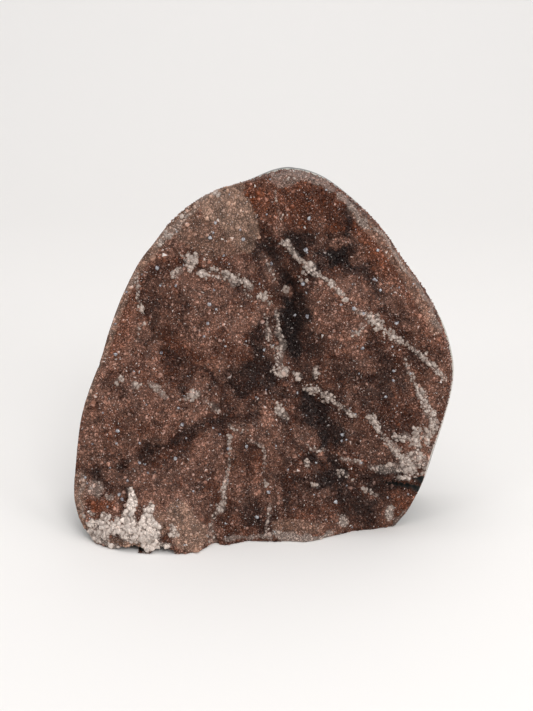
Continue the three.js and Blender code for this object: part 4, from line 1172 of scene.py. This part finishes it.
# The set: a white paper sweep under a large soft light, with one for the backdrop and smaller ones in front.
# The plate stands on the paper on its sawn foot.
SWEEP_NEAR, SWEEP_FAR, SWEEP_HIGH, SWEEP_BEND, SWEEP_WIDE = -1.2, 0.9, 1.6, 0.5, 2.4
profile = [(SWEEP_NEAR, 0.0)]
for turn in np.linspace(0, math.pi / 2, 17):
    profile.append((SWEEP_FAR - SWEEP_BEND + SWEEP_BEND * math.sin(turn), SWEEP_BEND * (1 - math.cos(turn))))
profile.append((SWEEP_FAR, SWEEP_HIGH))
verts = [(x, y, z) for y, z in profile for x in (-SWEEP_WIDE / 2, SWEEP_WIDE / 2)]
quads = [(2 * k, 2 * k + 1, 2 * k + 3, 2 * k + 2) for k in range(len(profile) - 1)]
mesh = bpy.data.meshes.new("paper_sweep")
mesh.from_pydata(verts, [], quads)
for face in mesh.polygons:
    face.use_smooth = True
sweep = bpy.data.objects.new("paper_sweep", mesh)
bpy.context.scene.collection.objects.link(sweep)
# Background paper is matt: it sends soft light back up and takes a soft shadow.
paper, tree = new_material("white background paper, matt")
finished(tree, Base_Color=linear("#ECEAE7"), Roughness=0.9, IOR=1.45)
sweep.data.materials.append(paper)

world = bpy.data.worlds.new("studio")
world.use_nodes = True
world.node_tree.nodes["Background"].inputs["Color"].default_value = linear("#FAFBFF")
world.node_tree.nodes["Background"].inputs["Strength"].default_value = 0.5
bpy.context.scene.world = world


def soft_light(name, place, aim, size, watts, colour):
    """A square light of the given size in metres, aimed at a place."""
    lamp = bpy.data.lights.new(name, "AREA")
    lamp.size = size
    lamp.energy = watts
    lamp.color = linear(colour)[:3]
    holder = bpy.data.objects.new(name, lamp)
    holder.location = place
    holder.rotation_euler = (Vector(aim) - Vector(place)).to_track_quat("-Z", "Y").to_euler()
    bpy.context.scene.collection.objects.link(holder)


soft_light("overhead_softbox", (0.03, 0.02, 1.0), (0, 0, 0.05), 1.2, 4.8, "#FFFAF6")
soft_light("backdrop_softbox", (0, 0.15, 1.3), (0, 0.9, 0.5), 0.7, 1.4, "#EDF4FF")
soft_light("front_softbox", (0.25, -0.75, 0.7), (0, 0, 0.06), 0.3, 2.9, "#FFFFFF")
soft_light("left_glint", (-0.6, -0.6, 0.55), (0, 0, 0.06), 0.2, 0.9, "#FFFFFF")
soft_light("right_glint", (0.55, -0.5, 0.3), (0, 0, 0.06), 0.25, 1.2, "#FFFFFF")

# The camera looks down on the plate by 20 degrees, from 42 cm, with a short telephoto lens.
LOOK_AT = (0.8, 60.3)
DISTANCE = 420
DOWN = math.radians(20)
LENS_IN_FRAME_HEIGHTS = 1330 / 711
target = Vector(on_face(LOOK_AT[0], LOOK_AT[1], 0.0))
ahead = Vector((0, math.cos(DOWN), -math.sin(DOWN)))
lens = bpy.data.cameras.new("camera")
lens.sensor_width = 36
lens.lens = 36 * LENS_IN_FRAME_HEIGHTS
camera = bpy.data.objects.new("camera", lens)
camera.location = target - ahead * DISTANCE * MM
camera.rotation_euler = ahead.to_track_quat("-Z", "Y").to_euler()
bpy.context.scene.collection.objects.link(camera)
bpy.context.scene.camera = camera
bpy.context.scene.view_settings.view_transform = "Standard"
